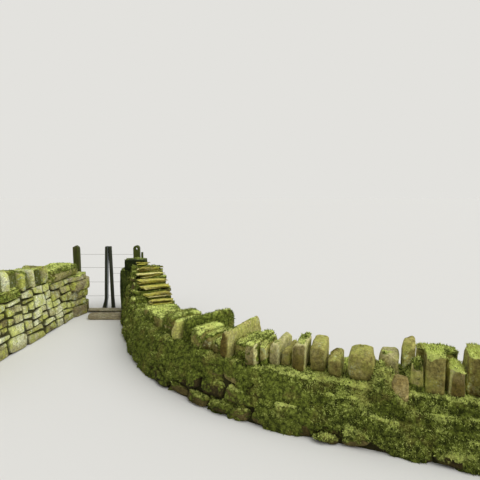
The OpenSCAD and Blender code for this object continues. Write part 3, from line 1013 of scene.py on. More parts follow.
@dataclass(frozen=True)
class Sprigs:
    """Sprigs of moss that stand out of the thick moss as small three-sided spikes.

    Fields:
        length, radius: a sprig's length and the radius of its foot.
        lighter: how much fresher, and brighter with painted light, they are than the moss under them.
        per_square_metre: how close they stand.
        most: how many one piece may have.
    """

    length: float = 0.017
    radius: float = 0.0045
    lighter: float = 0.1
    per_square_metre: float = 14000.0
    most: int = 42000

    def on(self, surfaces: Sequence[Surface], seed: int) -> Surface:
        """Sets sprigs on the mossy parts of some surfaces.

        Faces are drawn by their area and moss, and a place on each by two random shares. A
        sprig leans at random from the face's normal.

        Args:
            surfaces: what they grow on.
            seed: picks the places.

        Returns:
            The sprigs, each a closed spike of four triangles.
        """
        rng = np.random.default_rng(seed)
        source = Surface.join(surfaces)
        faces = source.triangles()
        a, b, c = (source.points[faces[:, k]] for k in range(3))
        across = np.cross(b - a, c - a)
        area = np.linalg.norm(across, axis=1) / 2
        normal = unit(across)
        weight = area * smoothstep(0.60, 0.95, source.marks["moss"][faces].mean(1))
        weight = weight * (source.marks["joint"][faces].max(1) < 0.5) * (normal[:, 2] > -0.3)
        count = min(self.most, int(weight.sum() * self.per_square_metre))
        pick = rng.choice(len(faces), count, p=weight / weight.sum())
        share = np.sort(rng.uniform(size=(count, 2)), axis=1)
        foot = (a[pick] * share[:, :1] + b[pick] * (share[:, 1:] - share[:, :1])
                + c[pick] * (1 - share[:, 1:]))
        lean = unit(normal[pick] + rng.normal(0.0, 0.45, (count, 3)))
        side = unit(np.cross(lean, rng.normal(size=(count, 3))))
        third = np.cross(lean, side)
        turn = np.arange(3) * 2 * math.pi / 3
        ring = np.cos(turn)[None, :, None] * side[:, None] + np.sin(turn)[None, :, None] * third[:, None]
        size = rng.uniform(0.6, 1.4, (count, 1))
        base = (foot - 0.004 * normal[pick])[:, None] + ring * (self.radius * size)[:, None]
        tip = foot + lean * self.length * size
        points = np.concatenate([base, tip[:, None]], 1).reshape(-1, 3)
        points[:, 2] = np.maximum(points[:, 2], 0.0)
        shape = np.array([[0, 2, 1], [0, 1, 3], [1, 2, 3], [2, 0, 3]])
        tris = (np.arange(count)[:, None, None] * 4 + shape[None]).reshape(-1, 3)
        marks = {key: np.zeros(len(points)) for key in MARKS}
        marks["moss"] += 1.0
        fresh_and_lit = source.marks["fresh_and_lit"][faces[pick, 0]] + rng.normal(self.lighter, 0.26, count)
        # Painted shade at each sprig's foot and painted light at its tip
        shades = np.stack([fresh_and_lit - 0.30] * 3 + [fresh_and_lit + 0.15], 1)
        marks["fresh_and_lit"] = np.clip(shades.ravel(), 0.0, 1.0)
        return Surface(points, np.zeros((0, 4), int), tris, marks)


class Bench:
    """A workbench for a node tree: adds nodes and feeds their sockets."""

    def __init__(self, tree: bpy.types.NodeTree) -> None:
        """Starts with the tree that the nodes go into."""
        self.tree = tree

    def feed(self, socket: Socket, value: Value) -> None:
        """Links a socket to another one, or sets its value."""
        if isinstance(value, Socket):
            self.tree.links.new(value, socket)
        else:
            socket.default_value = value

    def node(self, kind: str, feeds: Optional[Mapping] = None, **settings: object) -> bpy.types.Node:
        """Adds a node.

        Args:
            kind: the node's type.
            feeds: values or sockets for its inputs, by name or number.
            settings: its other properties, which are set first.

        Returns:
            The node.
        """
        made = self.tree.nodes.new(kind)
        for name, value in settings.items():
            setattr(made, name, value)
        for name, value in (feeds or {}).items():
            self.feed(made.inputs[name], value)
        return made

    def group(self, effect: "Effect", feeds: Mapping) -> Mapping:
        """Places an effect's group with its own values, and gives its outputs."""
        return self.node("ShaderNodeGroup", feeds, node_tree=effect.tree()).outputs

    def mark(self, name: str) -> Socket:
        """One of the marks of a surface's points."""
        return self.node("ShaderNodeAttribute", attribute_name=name).outputs["Fac"]

    def math(self, operation: str, a: Value, b: Value, c: Value = 0.0) -> Socket:
        """One sum: the operation on a, b and c."""
        return self.node("ShaderNodeMath", {0: a, 1: b, 2: c}, operation=operation).outputs[0]

    def plus(self, a: Value, b: Value) -> Socket:
        """The sum a + b."""
        return self.math("ADD", a, b)

    def minus(self, a: Value, b: Value) -> Socket:
        """The difference a - b."""
        return self.math("SUBTRACT", a, b)

    def times(self, a: Value, b: Value) -> Socket:
        """The product ab."""
        return self.math("MULTIPLY", a, b)

    def times_plus(self, a: Value, b: Value, c: Value) -> Socket:
        """The product ab, plus c."""
        return self.math("MULTIPLY_ADD", a, b, c)

    def noise(self, vector: Value, scale: float, detail: float, rough: float = 0.55) -> Socket:
        """Layered noise of a scale, from 0 to 1."""
        feeds = {"Vector": vector, "Scale": scale, "Detail": detail, "Roughness": rough}
        return self.node("ShaderNodeTexNoise", feeds).outputs[0]

    def stretch(self, vector: Value, scale: tuple) -> Socket:
        """Scales a vector by a factor on each axis."""
        return self.node("ShaderNodeVectorMath", {0: vector, 1: scale}, operation="MULTIPLY").outputs[0]

    def cells(self, vector: Value, scale: float, smooth: float) -> Socket:
        """Distance to the nearest of scattered points, softened between them."""
        feeds = {"Vector": vector, "Scale": scale, "Smoothness": smooth}
        return self.node("ShaderNodeTexVoronoi", feeds, feature="SMOOTH_F1").outputs["Distance"]

    def soft(self, value: Value, low: Value, high: Value) -> Socket:
        """Rises smoothly from 0 at low to 1 at high."""
        feeds = {"Value": value, "From Min": low, "From Max": high}
        return self.node("ShaderNodeMapRange", feeds, interpolation_type="SMOOTHSTEP").outputs[0]

    def mix(self, share: Value, a: Value, b: Value, blend: str = "MIX") -> Socket:
        """Blends colour a into colour b by a share."""
        feeds = {0: share, 6: a, 7: b}
        return self.node("ShaderNodeMix", feeds, data_type="RGBA", blend_type=blend).outputs[2]

    def bump(self, height: Value, strength: float, depth: float) -> Socket:
        """The normal of a relief so deep, in metres."""
        feeds = {"Height": height, "Strength": strength, "Distance": depth}
        return self.node("ShaderNodeBump", feeds).outputs[0]


@dataclass(frozen=True)
class Effect:
    """A shader effect, which is a node group with named inputs and outputs.

    Fields:
        inputs: default values, a colour or vector as a tuple.
        outputs: names of the outputs, of which Color is a colour and the others are numbers.
        build: given a bench and the inputs' sockets, returns the outputs' sockets.
    """

    name: str
    inputs: Mapping
    outputs: tuple
    build: Callable[[Bench, Mapping], Mapping]

    def tree(self) -> bpy.types.NodeTree:
        """Builds the group when it is first asked for.

        Returns:
            The group.
        """
        found = bpy.data.node_groups.get(self.name)
        if found:
            return found
        tree = bpy.data.node_groups.new(self.name, "ShaderNodeTree")
        for key, value in self.inputs.items():
            kind = "NodeSocketFloat"
            if isinstance(value, tuple):
                kind = "NodeSocketColor" if len(value) == 4 else "NodeSocketVector"
            tree.interface.new_socket(key, in_out="INPUT", socket_type=kind).default_value = value
        for key in self.outputs:
            kind = "NodeSocketColor" if key == "Color" else "NodeSocketFloat"
            tree.interface.new_socket(key, in_out="OUTPUT", socket_type=kind)
        bench = Bench(tree)
        entry = bench.node("NodeGroupInput")
        bench.node("NodeGroupOutput", self.build(bench, {key: entry.outputs[key] for key in self.inputs}))
        return tree


def build_sandstone(bench: Bench, inputs: Mapping) -> Mapping:
    """Split sandstone: three colours in blotches, thin beds, run-off streaks and a fine grain.

    Args:
        bench: where its nodes go.
        inputs: the group's inputs.

    Returns:
        Its colour and its height.
    """
    at = inputs["Vector"]
    blotch = bench.noise(at, 5.0, 3.0)
    stain = bench.noise(at, 21.0, 6.0, 0.64)
    grain = bench.noise(at, 160.0, 4.0, 0.7)
    speck = bench.noise(at, 66.0, 3.0, 0.75)
    beds = bench.noise(bench.stretch(at, (3.0, 3.0, 70.0)), 1.0, 3.0, 0.6)
    runs = bench.noise(bench.stretch(at, (38.0, 38.0, 2.6)), 1.0, 3.0, 0.6)
    lean = bench.times_plus(inputs["Tone"], 0.46, -0.23)
    value = bench.times_plus(stain, 0.5, bench.plus(bench.times(blotch, 0.5), lean))
    color = bench.mix(bench.soft(value, 0.28, 0.50), inputs["Dark"], inputs["Mid"])
    color = bench.mix(bench.soft(value, 0.50, 0.72), color, inputs["Light"])
    band = bench.times(bench.soft(beds, 0.54, 0.66), inputs["Beds"])
    streak = bench.times(bench.soft(runs, 0.46, 0.62), inputs["Streaks"])
    color = bench.mix(bench.math("MAXIMUM", band, streak), color, inputs["Dark"])
    shade = bench.times_plus(grain, 0.7, bench.times_plus(speck, 1.7, -0.20))
    height = bench.times_plus(grain, 0.25, bench.times(stain, 0.6))
    height = bench.times_plus(band, -0.35, bench.times_plus(speck, 0.7, height))
    return {"Color": bench.mix(1.0, color, shade, "MULTIPLY"), "Height": height}


def build_crusts(bench: Bench, inputs: Mapping) -> Mapping:
    """A film of algae in wide patches and crusts of lichen in ragged spots.

    Args:
        bench: where its nodes go.
        inputs: the group's inputs.

    Returns:
        How far the film and the spots show.
    """
    at = inputs["Vector"]
    ragged = bench.noise(at, 48.0, 5.0, 0.68)
    wide = bench.noise(at, 6.5, 4.0, 0.6)
    other = bench.noise(bench.stretch(at, (-1.0, -1.0, -1.0)), 9.0, 3.0, 0.6)
    film = bench.times_plus(ragged, 0.35, bench.times(wide, 0.65))
    film_low = bench.minus(0.66, bench.times(inputs["Film"], 0.32))
    spot = bench.times_plus(ragged, 0.6, bench.times(other, 0.4))
    spot_low = bench.minus(0.68, bench.times(inputs["Spots"], 0.30))
    return {"Film": bench.soft(film, film_low, bench.plus(film_low, 0.10)),
            "Spot": bench.soft(spot, spot_low, bench.plus(spot_low, 0.07))}


def build_moss(bench: Bench, inputs: Mapping) -> Mapping:
    """Moss: a ragged edge, small cushions and tufts, and greens from deep to yellow, with painted
    shade in the hollows of cushions and clumps and painted light on the tufts.

    Args:
        bench: where its nodes go.
        inputs: the group's inputs.

    Returns:
        Its colour, where it shows, and its height.
    """
    at = inputs["Vector"]
    ragged = bench.noise(at, 42.0, 6.0, 0.7)
    clump = bench.cells(at, 30.0, 0.8)
    cushion = bench.cells(at, 74.0, 1.0)
    tuft = bench.noise(at, 230.0, 5.0, 0.78)
    drift = bench.noise(at, 5.5, 4.0, 0.62)
    reach = bench.times_plus(bench.minus(ragged, 0.5), 1.3, inputs["Amount"])
    # Painted shade in the hollows between cushions and clumps, and painted light on the tufts
    light = bench.times_plus(cushion, -0.28, bench.times_plus(tuft, 0.85, 0.31))
    light = bench.times_plus(clump, -0.34, light)
    color = bench.mix(bench.soft(light, 0.32, 0.62), inputs["Dark"], inputs["Mid"])
    # Painted light: moss marked fresh and lit turns towards its bright green
    shine = bench.times_plus(bench.minus(inputs["Fresh And Lit"], 0.5), 0.75, light)
    shine = bench.times_plus(bench.minus(drift, 0.5), 0.5, shine)
    color = bench.mix(bench.soft(shine, 0.42, 0.78), color, inputs["Bright"])
    dry = bench.times(bench.soft(drift, 0.50, 0.68), 0.38)
    height = bench.times_plus(cushion, -0.5, bench.times_plus(tuft, 0.9, 0.5))
    return {"Color": bench.mix(dry, color, inputs["Dry"]), "Mask": bench.soft(reach, 0.42, 0.60),
            "Height": height}


def build_timber(bench: Bench, inputs: Mapping) -> Mapping:
    """Weathered timber: long grain, drying cracks and a green film in patches.

    Args:
        bench: where its nodes go.
        inputs: the group's inputs.

    Returns:
        Its colour and its height.
    """
    at = inputs["Vector"]
    grain = bench.noise(bench.stretch(at, (110.0, 110.0, 3.0)), 1.0, 5.0, 0.65)
    streak = bench.noise(bench.stretch(at, (28.0, 28.0, 1.6)), 1.0, 3.0, 0.6)
    patch = bench.noise(at, 9.0, 4.0, 0.6)
    crack = bench.soft(bench.noise(bench.stretch(at, (60.0, 60.0, 1.1)), 1.0, 2.0, 0.5), 0.36, 0.30)
    color = bench.mix(bench.soft(grain, 0.30, 0.72), inputs["Dark"], inputs["Light"])
    spread = bench.times(bench.plus(streak, patch), 0.5)
    film = bench.times(bench.soft(spread, 0.40, 0.58), inputs["Film"])
    color = bench.mix(film, color, inputs["Green"])
    return {"Color": bench.mix(bench.times(crack, 0.75), color, inputs["Dark"]),
            "Height": bench.minus(bench.times(grain, 0.6), crack)}


GREY = (0.5, 0.5, 0.5, 1.0)
ORIGIN = (0.0, 0.0, 0.0)
SANDSTONE = Effect("Sandstone", {"Vector": ORIGIN, "Tone": 0.5, "Dark": GREY, "Mid": GREY, "Light": GREY,
                                 "Beds": 0.3, "Streaks": 0.0}, ("Color", "Height"), build_sandstone)
CRUSTS = Effect("Crusts", {"Vector": ORIGIN, "Film": 0.3, "Spots": 0.3}, ("Film", "Spot"), build_crusts)
MOSS = Effect("Moss", {"Vector": ORIGIN, "Amount": 0.5, "Fresh And Lit": 0.5, "Dark": GREY, "Mid": GREY,
                       "Bright": GREY, "Dry": GREY}, ("Color", "Mask", "Height"), build_moss)
TIMBER = Effect("Timber", {"Vector": ORIGIN, "Dark": GREY, "Light": GREY, "Green": GREY, "Film": 0.4},
                ("Color", "Height"), build_timber)


@dataclass(frozen=True)
class Finish:
    """A finish of one principled shader."""

    name: str

    def shade(self, bench: Bench, at: Socket) -> Mapping:
        """Wires the finish at a place on the object, and gives what feeds the shader."""
        raise NotImplementedError

    def material(self) -> bpy.types.Material:
        """Builds the material when it is first asked for.

        Returns:
            The material.
        """
        found = bpy.data.materials.get(self.name)
        if found:
            return found
        made = bpy.data.materials.new(self.name)
        made.use_nodes = True
        made.node_tree.nodes.clear()
        bench = Bench(made.node_tree)
        feeds = self.shade(bench, bench.node("ShaderNodeTexCoord").outputs["Object"])
        shader = bench.node("ShaderNodeBsdfPrincipled", feeds)
        bench.node("ShaderNodeOutputMaterial", {"Surface": shader.outputs[0]})
        return made


@dataclass(frozen=True)
class MossFinish:
    """The colours of moss.

    Fields:
        dark, mid, bright: painted shade between the tufts, the tufts themselves, and their fresh
            tips in painted light.
        dry: where it has dried.
    """

    dark: tuple = srgb(56, 64, 16)
    mid: tuple = srgb(140, 154, 60)
    bright: tuple = srgb(226, 238, 132)
    dry: tuple = srgb(156, 142, 74)


@dataclass(frozen=True)
class StoneFinish(Finish):
    """The finish of one kind of stone, with the film, lichen and moss that grow on it.

    Fields:
        film, film_amount: the algae's colour and share.
        lichen, lichen_amount: the crusts' colour and share.
        joint, soil_and_shade: colours of deep joints and of damp soil and painted shade.
        beds, streaks: how far thin beds and run-off streaks show.
        pits: contrast of the small light and dark spots over film and stone.
        relief: depth of the bump, in metres.
    """

    dark: tuple
    mid: tuple
    light: tuple
    film: tuple = srgb(150, 152, 66)
    film_amount: float = 0.45
    lichen: tuple = srgb(184, 192, 150)
    lichen_amount: float = 0.35
    moss: MossFinish = MossFinish()
    joint: tuple = srgb(30, 28, 14)
    soil_and_shade: tuple = srgb(122, 108, 84)
    beds: float = 0.25
    streaks: float = 0.0
    pits: float = 3.2
    relief: float = 0.007

    def shade(self, bench: Bench, at: Socket) -> Mapping:
        """Wires stone under film, lichen, soil and painted shade, dirty joints and moss.

        Args:
            bench: where its nodes go.
            at: the place on the object.

        Returns:
            What feeds the shader's sockets.
        """
        stone = bench.group(SANDSTONE, {
            "Vector": at, "Tone": bench.mark("tone"), "Dark": self.dark, "Mid": self.mid,
            "Light": self.light, "Beds": self.beds, "Streaks": self.streaks})
        crust = bench.group(CRUSTS, {"Vector": at, "Film": self.film_amount, "Spots": self.lichen_amount})
        carpet = bench.group(MOSS, {
            "Vector": at, "Amount": bench.mark("moss"), "Fresh And Lit": bench.mark("fresh_and_lit"),
            "Dark": self.moss.dark, "Mid": self.moss.mid, "Bright": self.moss.bright, "Dry": self.moss.dry})
        mask, soil_and_shade = carpet["Mask"], bench.mark("soil_and_shade")
        color = bench.mix(bench.times(crust["Film"], 0.75), stone["Color"], self.film)
        color = bench.mix(bench.times(crust["Spot"], 0.75), color, self.lichen)
        pits = bench.times_plus(bench.noise(at, 38.0, 5.0, 0.8), self.pits, 1.05 - 0.5 * self.pits)
        color = bench.mix(1.0, color, pits, "MULTIPLY")
        # Soil and painted shade darken the stone where the surface is marked for them
        color = bench.mix(soil_and_shade, color, self.soil_and_shade, "MULTIPLY")
        color = bench.mix(bench.times(bench.mark("joint"), 0.9), color, self.joint)
        # Soil and painted shade darken the moss as well, more lightly
        shaded = bench.mix(bench.times(soil_and_shade, 0.6), carpet["Color"], self.soil_and_shade, "MULTIPLY")
        bare = bench.times(stone["Height"], bench.minus(1.0, mask))
        height = bench.times_plus(bench.plus(carpet["Height"], 0.5), mask, bare)
        return {"Base Color": bench.mix(mask, color, shaded), "Roughness": 0.93,
                "Specular IOR Level": 0.2, "Normal": bench.bump(height, 1.0, self.relief)}


@dataclass(frozen=True)
class TimberFinish(Finish):
    """The finish of weathered timber.

    Fields:
        dark, light: colours of the grain.
        green, film: colour of the green film and how far it shows.
        painted_sky_light: colour of the painted sky light on the faces marked for it.
        relief: depth of the bump, in metres.
    """

    dark: tuple
    light: tuple
    green: tuple
    film: float
    painted_sky_light: tuple = srgb(186, 194, 198)
    relief: float = 0.003

    def shade(self, bench: Bench, at: Socket) -> Mapping:
        """Wires the timber, with painted sky light where its surface is marked as lit."""
        wood = bench.group(TIMBER, {"Vector": at, "Dark": self.dark, "Light": self.light,
                                    "Green": self.green, "Film": self.film})
        # Painted sky light: the marked faces turn pale blue-grey
        return {"Base Color": bench.mix(bench.times(bench.mark("fresh_and_lit"), 0.85), wood["Color"], self.painted_sky_light),
                "Roughness": 0.82, "Specular IOR Level": 0.3,
                "Normal": bench.bump(wood["Height"], 0.9, self.relief)}


@dataclass(frozen=True)
class WireFinish(Finish):
    """The finish of dull galvanised wire."""

    color: tuple = srgb(104, 104, 92)
    rust: tuple = srgb(96, 68, 44)

    def shade(self, bench: Bench, at: Socket) -> Mapping:
        """Wires grey metal with patches of rust, which are rougher and less metallic."""
        rusty = bench.soft(bench.noise(at, 14.0, 4.0), 0.50, 0.62)
        return {"Base Color": bench.mix(rusty, self.color, self.rust),
                "Metallic": bench.times_plus(rusty, -0.6, 0.75),
                "Roughness": bench.times_plus(rusty, 0.35, 0.45)}


LEFT_STONE = StoneFinish("left_rubble", srgb(112, 104, 64), srgb(176, 172, 120), srgb(218, 220, 180),
                         film=srgb(184, 190, 84), film_amount=0.66, lichen=srgb(198, 210, 186),
                         lichen_amount=0.48, joint=srgb(48, 46, 24))
# Set-back copes: the pale stone greened by damp and algae, and darkened by painted shade
LEFT_DAMP_AND_SHADED = replace(LEFT_STONE, name="left_damp_and_shaded_rubble", dark=srgb(60, 62, 26), mid=srgb(96, 100, 46),
                    light=srgb(140, 144, 84), film=srgb(98, 106, 40))
HEAD_STONE = replace(LEFT_STONE, name="left_head_rubble", dark=srgb(112, 102, 70), mid=srgb(166, 156, 116),
                     light=srgb(212, 206, 172), film_amount=0.55, lichen_amount=0.42)
RIGHT_STONE = StoneFinish("right_rubble", srgb(56, 48, 24), srgb(100, 90, 48), srgb(152, 142, 88),
                          film=srgb(108, 108, 42), lichen=srgb(156, 160, 114), lichen_amount=0.28,
                          joint=srgb(46, 44, 18))
COPE_STONE = StoneFinish("cope_rubble", srgb(118, 106, 54), srgb(182, 176, 102), srgb(216, 212, 152),
                         film=srgb(188, 192, 96), film_amount=0.6, lichen=srgb(206, 214, 166),
                         lichen_amount=0.42)
SLAB_STONE = StoneFinish("flat_slab_rubble", srgb(118, 106, 42), srgb(186, 178, 88), srgb(226, 220, 150),
                         film=srgb(194, 192, 74), film_amount=0.6, lichen_amount=0.35, beds=0.7)
BARE_STONE = StoneFinish("bare_tan", srgb(92, 74, 38), srgb(140, 124, 72), srgb(182, 168, 114),
                         film_amount=0.15, lichen_amount=0.15, beds=0.5)
# The stoop's stone and moss: its own dark algae and moss, made darker still by painted shade; the moss's
# colours are about half the usual ones
DARK_MOSS = MossFinish(srgb(26, 36, 6), srgb(74, 90, 26), srgb(136, 150, 68), srgb(84, 82, 36))
STOOP_STONE = StoneFinish("dark_stoop", srgb(24, 32, 6), srgb(54, 64, 18), srgb(92, 102, 44),
                          film=srgb(70, 82, 26), lichen=srgb(128, 138, 86), lichen_amount=0.12,
                          moss=DARK_MOSS, streaks=0.8)
STEP_STONE = StoneFinish("worn_step", srgb(100, 88, 64), srgb(142, 132, 104), srgb(182, 176, 150),
                         film=srgb(120, 120, 76), film_amount=0.35, lichen_amount=0.25, beds=0.4,
                         relief=0.004)
DARK_TIMBER = TimberFinish("dark_timber_grain", srgb(22, 24, 16), srgb(62, 64, 54), srgb(52, 60, 20), 0.4)
FENCE_TIMBER = TimberFinish("fence_timber_grain", srgb(36, 36, 10), srgb(88, 88, 40), srgb(70, 82, 16), 0.7)
WIRE = WireFinish("dull_wire")


def add_piece(name: str, surface: Surface, finish: Finish, stands_for: Sequence[str] = ()) -> None:
    """Makes a surface a piece of the object, riding on its one body.

    Args:
        name: the piece's name.
        surface: its mesh.
        finish: its finish.
        stands_for: the frame nodes that it replaces.
    """
    mesh = bpy.data.meshes.new(name)
    quads, tris = surface.quads, surface.tris
    mesh.vertices.add(len(surface.points))
    mesh.vertices.foreach_set("co", surface.points.astype(np.float32).ravel())
    corners = np.concatenate([quads.ravel(), tris.ravel()]).astype(np.int32)
    sizes = np.concatenate([np.full(len(quads), 4), np.full(len(tris), 3)])
    starts = np.concatenate([[0], np.cumsum(sizes)[:-1]]).astype(np.int32)
    mesh.loops.add(len(corners))
    mesh.loops.foreach_set("vertex_index", corners)
    mesh.polygons.add(len(sizes))
    mesh.polygons.foreach_set("loop_start", starts)
    mesh.update(calc_edges=True)
    mesh.validate()
    for key in MARKS:
        layer = mesh.attributes.new(key, "FLOAT", "POINT")
        layer.data.foreach_set("value", surface.marks[key].astype(np.float32))
    mesh.polygons.foreach_set("use_smooth", np.ones(len(mesh.polygons), bool))
    mesh.set_sharp_from_angle(angle=SHARP_FROM)
    mesh.materials.append(finish.material())
    piece = bpy.data.objects.new(name, mesh)
    bpy.context.scene.collection.objects.link(piece)
    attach(piece, "root")
    if stands_for:
        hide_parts(*stands_for)
    LOG.info("%s: %d faces", name, len(mesh.polygons))


def worn(node: str, wear: Wear, seed: int, inner: tuple = (0.0, 0.0)) -> Surface:
    """The one solid of a node, worn."""
    return Block.of_solid(solids_of(node)[0]).surface(wear, seed, inner)


@dataclass(frozen=True)
class Course:
    """A course of the left wall's head, cut into four stones by two joints.

    Fields:
        stone: the last words of its node's name.
        split_x, split_y: plan places of the joints.
        soil_and_shade, cover: how dark with soil and painted shade it is, and how much moss grows on it.
    """

    stone: str
    split_x: float
    split_y: float
    finish: StoneFinish
    soil_and_shade: float
    cover: float


@dataclass
class LeftWall:
    """The left wall: its walling, its head, its end cope and its upright copes.

    Fields:
        batter: how both its faces lean in, as a share of the height.
        setback: how far its path face stands back from the head's side.
        step_ends: distances at which its top steps up, going away from the gap.
        ground_to: heights up to here aren't read as beds of the top.
        joint: half the width of the joints between the head's stones.
        damp_and_shaded_from: upright copes that stand further in than this are damp, and darker
            with painted shade.
        under_copes, off_gap, foot: heights and distances between which moss grows thicker.
    """

    width: float = 0.62
    length: float = 2.7
    batter: float = 0.12
    setback: float = 0.105
    heading: float = math.radians(-95.7)
    step_ends: tuple = (0.5, 1.15, 1.85)
    ground_to: float = 0.1
    inner: tuple = (-30.0, -2.0)
    joint: float = 0.004
    damp_and_shaded_from: float = 0.082
    under_copes: tuple = (0.54, 0.68)
    off_gap: tuple = (1.05, 1.35)
    foot: tuple = (0.22, 0.0)
    seed: int = 11
    # The foot stone and the thin slab are the darkest with soil and painted shade
    courses: tuple = (Course("foot_stone", -0.55, -0.02, HEAD_STONE, 0.5, 0.22),
                      Course("tilted_stone", -0.50, 0.07, LEFT_STONE, 0.0, 0.10),
                      Course("upright_stone", -0.57, -0.09, LEFT_STONE, 0.1, 0.10),
                      Course("projecting_stone", -0.52, 0.04, HEAD_STONE, 0.1, 0.06),
                      Course("thin_slab", -0.56, -0.04, HEAD_STONE, 0.3, 0.26))
    body: WallBody = field(init=False)
    mossy: list = field(default_factory=list)

    def __post_init__(self) -> None:
        """Places the walling from the frame."""
        low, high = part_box("left_head_foot_stone")
        heights = solids_of("left_wall")[0][:, 2]
        beds = sorted({round(float(z), 4) for z in heights if z > self.ground_to})
        plan = Plan((high.x - self.setback, low.y), self.heading, self.length, side=-1)

        def top(a: Array) -> Array:
            """The bed's height at a distance along the wall."""
            return np.select([a < end for end in self.step_ends], beds[:-1], beds[-1])

        self.body = WallBody(plan, self.width, self.batter, self.batter, top,
                             math.tan(math.radians(-90.0) - self.heading))

    def cover(self, s: Array, z: Array) -> Array:
        """Moss on the path face: thin, but thick under the copes away from the gap."""
        high = smoothstep(*self.under_copes, z) * smoothstep(*self.off_gap, s)
        return 0.14 + 0.55 * high + 0.16 * smoothstep(*self.foot, z)

    def offset(self, points: Array) -> float:
        """How far a solid stands in from the path face's foot."""
        inward = np.array([math.sin(self.heading), -math.cos(self.heading)])
        return float(np.min((points[:, :2] - np.array(self.body.plan.start)) @ inward))

    def build(self) -> None:
        """Builds the walling, the head and the copes."""
        walling = Walling(
            self.body, Rubble(joint=0.004, corner=0.6, square=9.0, bulge=0.012, behind=0.027),
            Growth(cover=0.25, lift=0.45, patch=0.6, depth=0.008, fresh_and_lit=0.4), self.cover,
            # Darker towards the ground, with soil and painted shade
            soil_and_shade=lambda z: 0.55 * smoothstep(0.16, 0.0, z), fresh_and_lit=lambda s: 0.35 + 0.0 * s,
            heap=lambda s, o: 0.022 + 0.0 * s, seed=self.seed)
        stones = Surface.join([stone for face in Face for _, stone in walling.face_stones(face)])
        core = walling.core(0.0, self.length)
        self.mossy += [stones, core]
        add_piece("left_walling_stones", stones, LEFT_STONE)
        add_piece("left_walling_core", core, LEFT_STONE, ["left_wall"])
        self.head()
        self.copes()
        sprigs = Sprigs(length=0.013, most=9000).on(self.mossy, seed=590)
        add_piece("left_moss_sprigs", sprigs, COPE_STONE)

    def head(self) -> None:
        """Builds the head's stones, four to a course, their joints staggered."""
        for k, course in enumerate(self.courses):
            node = "left_head_" + course.stone
            (low, outline), (high, _) = Block.of_solid(solids_of(node)[0]).levels
            low += self.joint if k else 0.0
            wear = Wear(around=40, side_rows=6, chips=10, chip_depth=0.026, lump=0.007, soil_and_shade=course.soil_and_shade,
                        growth=Growth(cover=course.cover, lift=0.7, patch=0.4, depth=0.009))
            stones = []
            for part, (side_y, side_x) in enumerate([(-1, -1), (-1, 1), (1, -1), (1, 1)]):
                cut = clip_outline(outline, np.array([0.0, side_y]), side_y * course.split_y + self.joint)
                cut = clip_outline(cut, np.array([side_x, 0.0]), side_x * course.split_x + self.joint)
                stone = Block([(low, cut), (high - self.joint, cut)])
                stones.append(stone.surface(wear, 520 + 10 * k + part))
            name = "left_head_course_%d" % (k + 1)
            add_piece(name, Surface.join(stones), course.finish, [node])

    def copes(self) -> None:
        """Builds the end cope and the upright copes, of which those set back are damp and mossy, and
        darker with painted shade.
        """
        # The end cope is darker on its end towards the path, with soil and painted shade
        end = Wear(around=96, edge=0.07, chips=9, chip_depth=0.04, lump=0.012, lump_size=0.2, soften=4,
                   front_soil_and_shade=0.45, growth=Growth(cover=0.50, lift=0.85, depth=0.018, fresh_and_lit=0.20))
        block = worn("left_end_cope", end, seed=501, inner=self.inner)
        add_piece("left_end_cope_stone", block, COPE_STONE, ["left_end_cope"])
        pale = Wear(side_rows=9, growth=Growth(cover=0.06, lift=0.95, patch=0.3, depth=0.010))
        for kind, seed in (("tan", 502), ("pale", 503)):
            node = "left_cope_" + kind
            add_piece("left_upright_%s_stone" % kind, worn(node, pale, seed), LEFT_STONE,
                      [node])
        # Set-back copes: more moss, and darker with soil and painted shade
        damp_and_shaded = replace(pale, growth=Growth(cover=0.34, lift=1.0, patch=0.4, depth=0.014), soil_and_shade=0.35)
        dry, wet_and_shaded = [], []
        for k, points in enumerate(solids_of("left_copes")):
            set_back = self.offset(points) > self.damp_and_shaded_from
            stone = Block.of_solid(points).surface(damp_and_shaded if set_back else pale, 504 + 11 * k)
            (wet_and_shaded if set_back else dry).append(stone)
        self.mossy += [block] + wet_and_shaded + dry
        add_piece("left_upright_copes_pale", Surface.join(dry), LEFT_STONE)
        add_piece("left_upright_copes_damp_and_shaded", Surface.join(wet_and_shaded), LEFT_DAMP_AND_SHADED, ["left_copes"])


@dataclass(frozen=True)
class CopeLook:
    """How one upright cope stone of the right wall looks.

    Fields:
        cover, fresh_and_lit: how much moss grows on it, and how fresh and brightly lit it is painted.
        front, soil_and_shade: how dark with soil and painted shade its end towards the path is,
            and the whole stone.
        boulder: whether it is as round as a boulder.
    """

    cover: float
    fresh_and_lit: float
    front: float
    soil_and_shade: float = 0.0
    boulder: bool = False


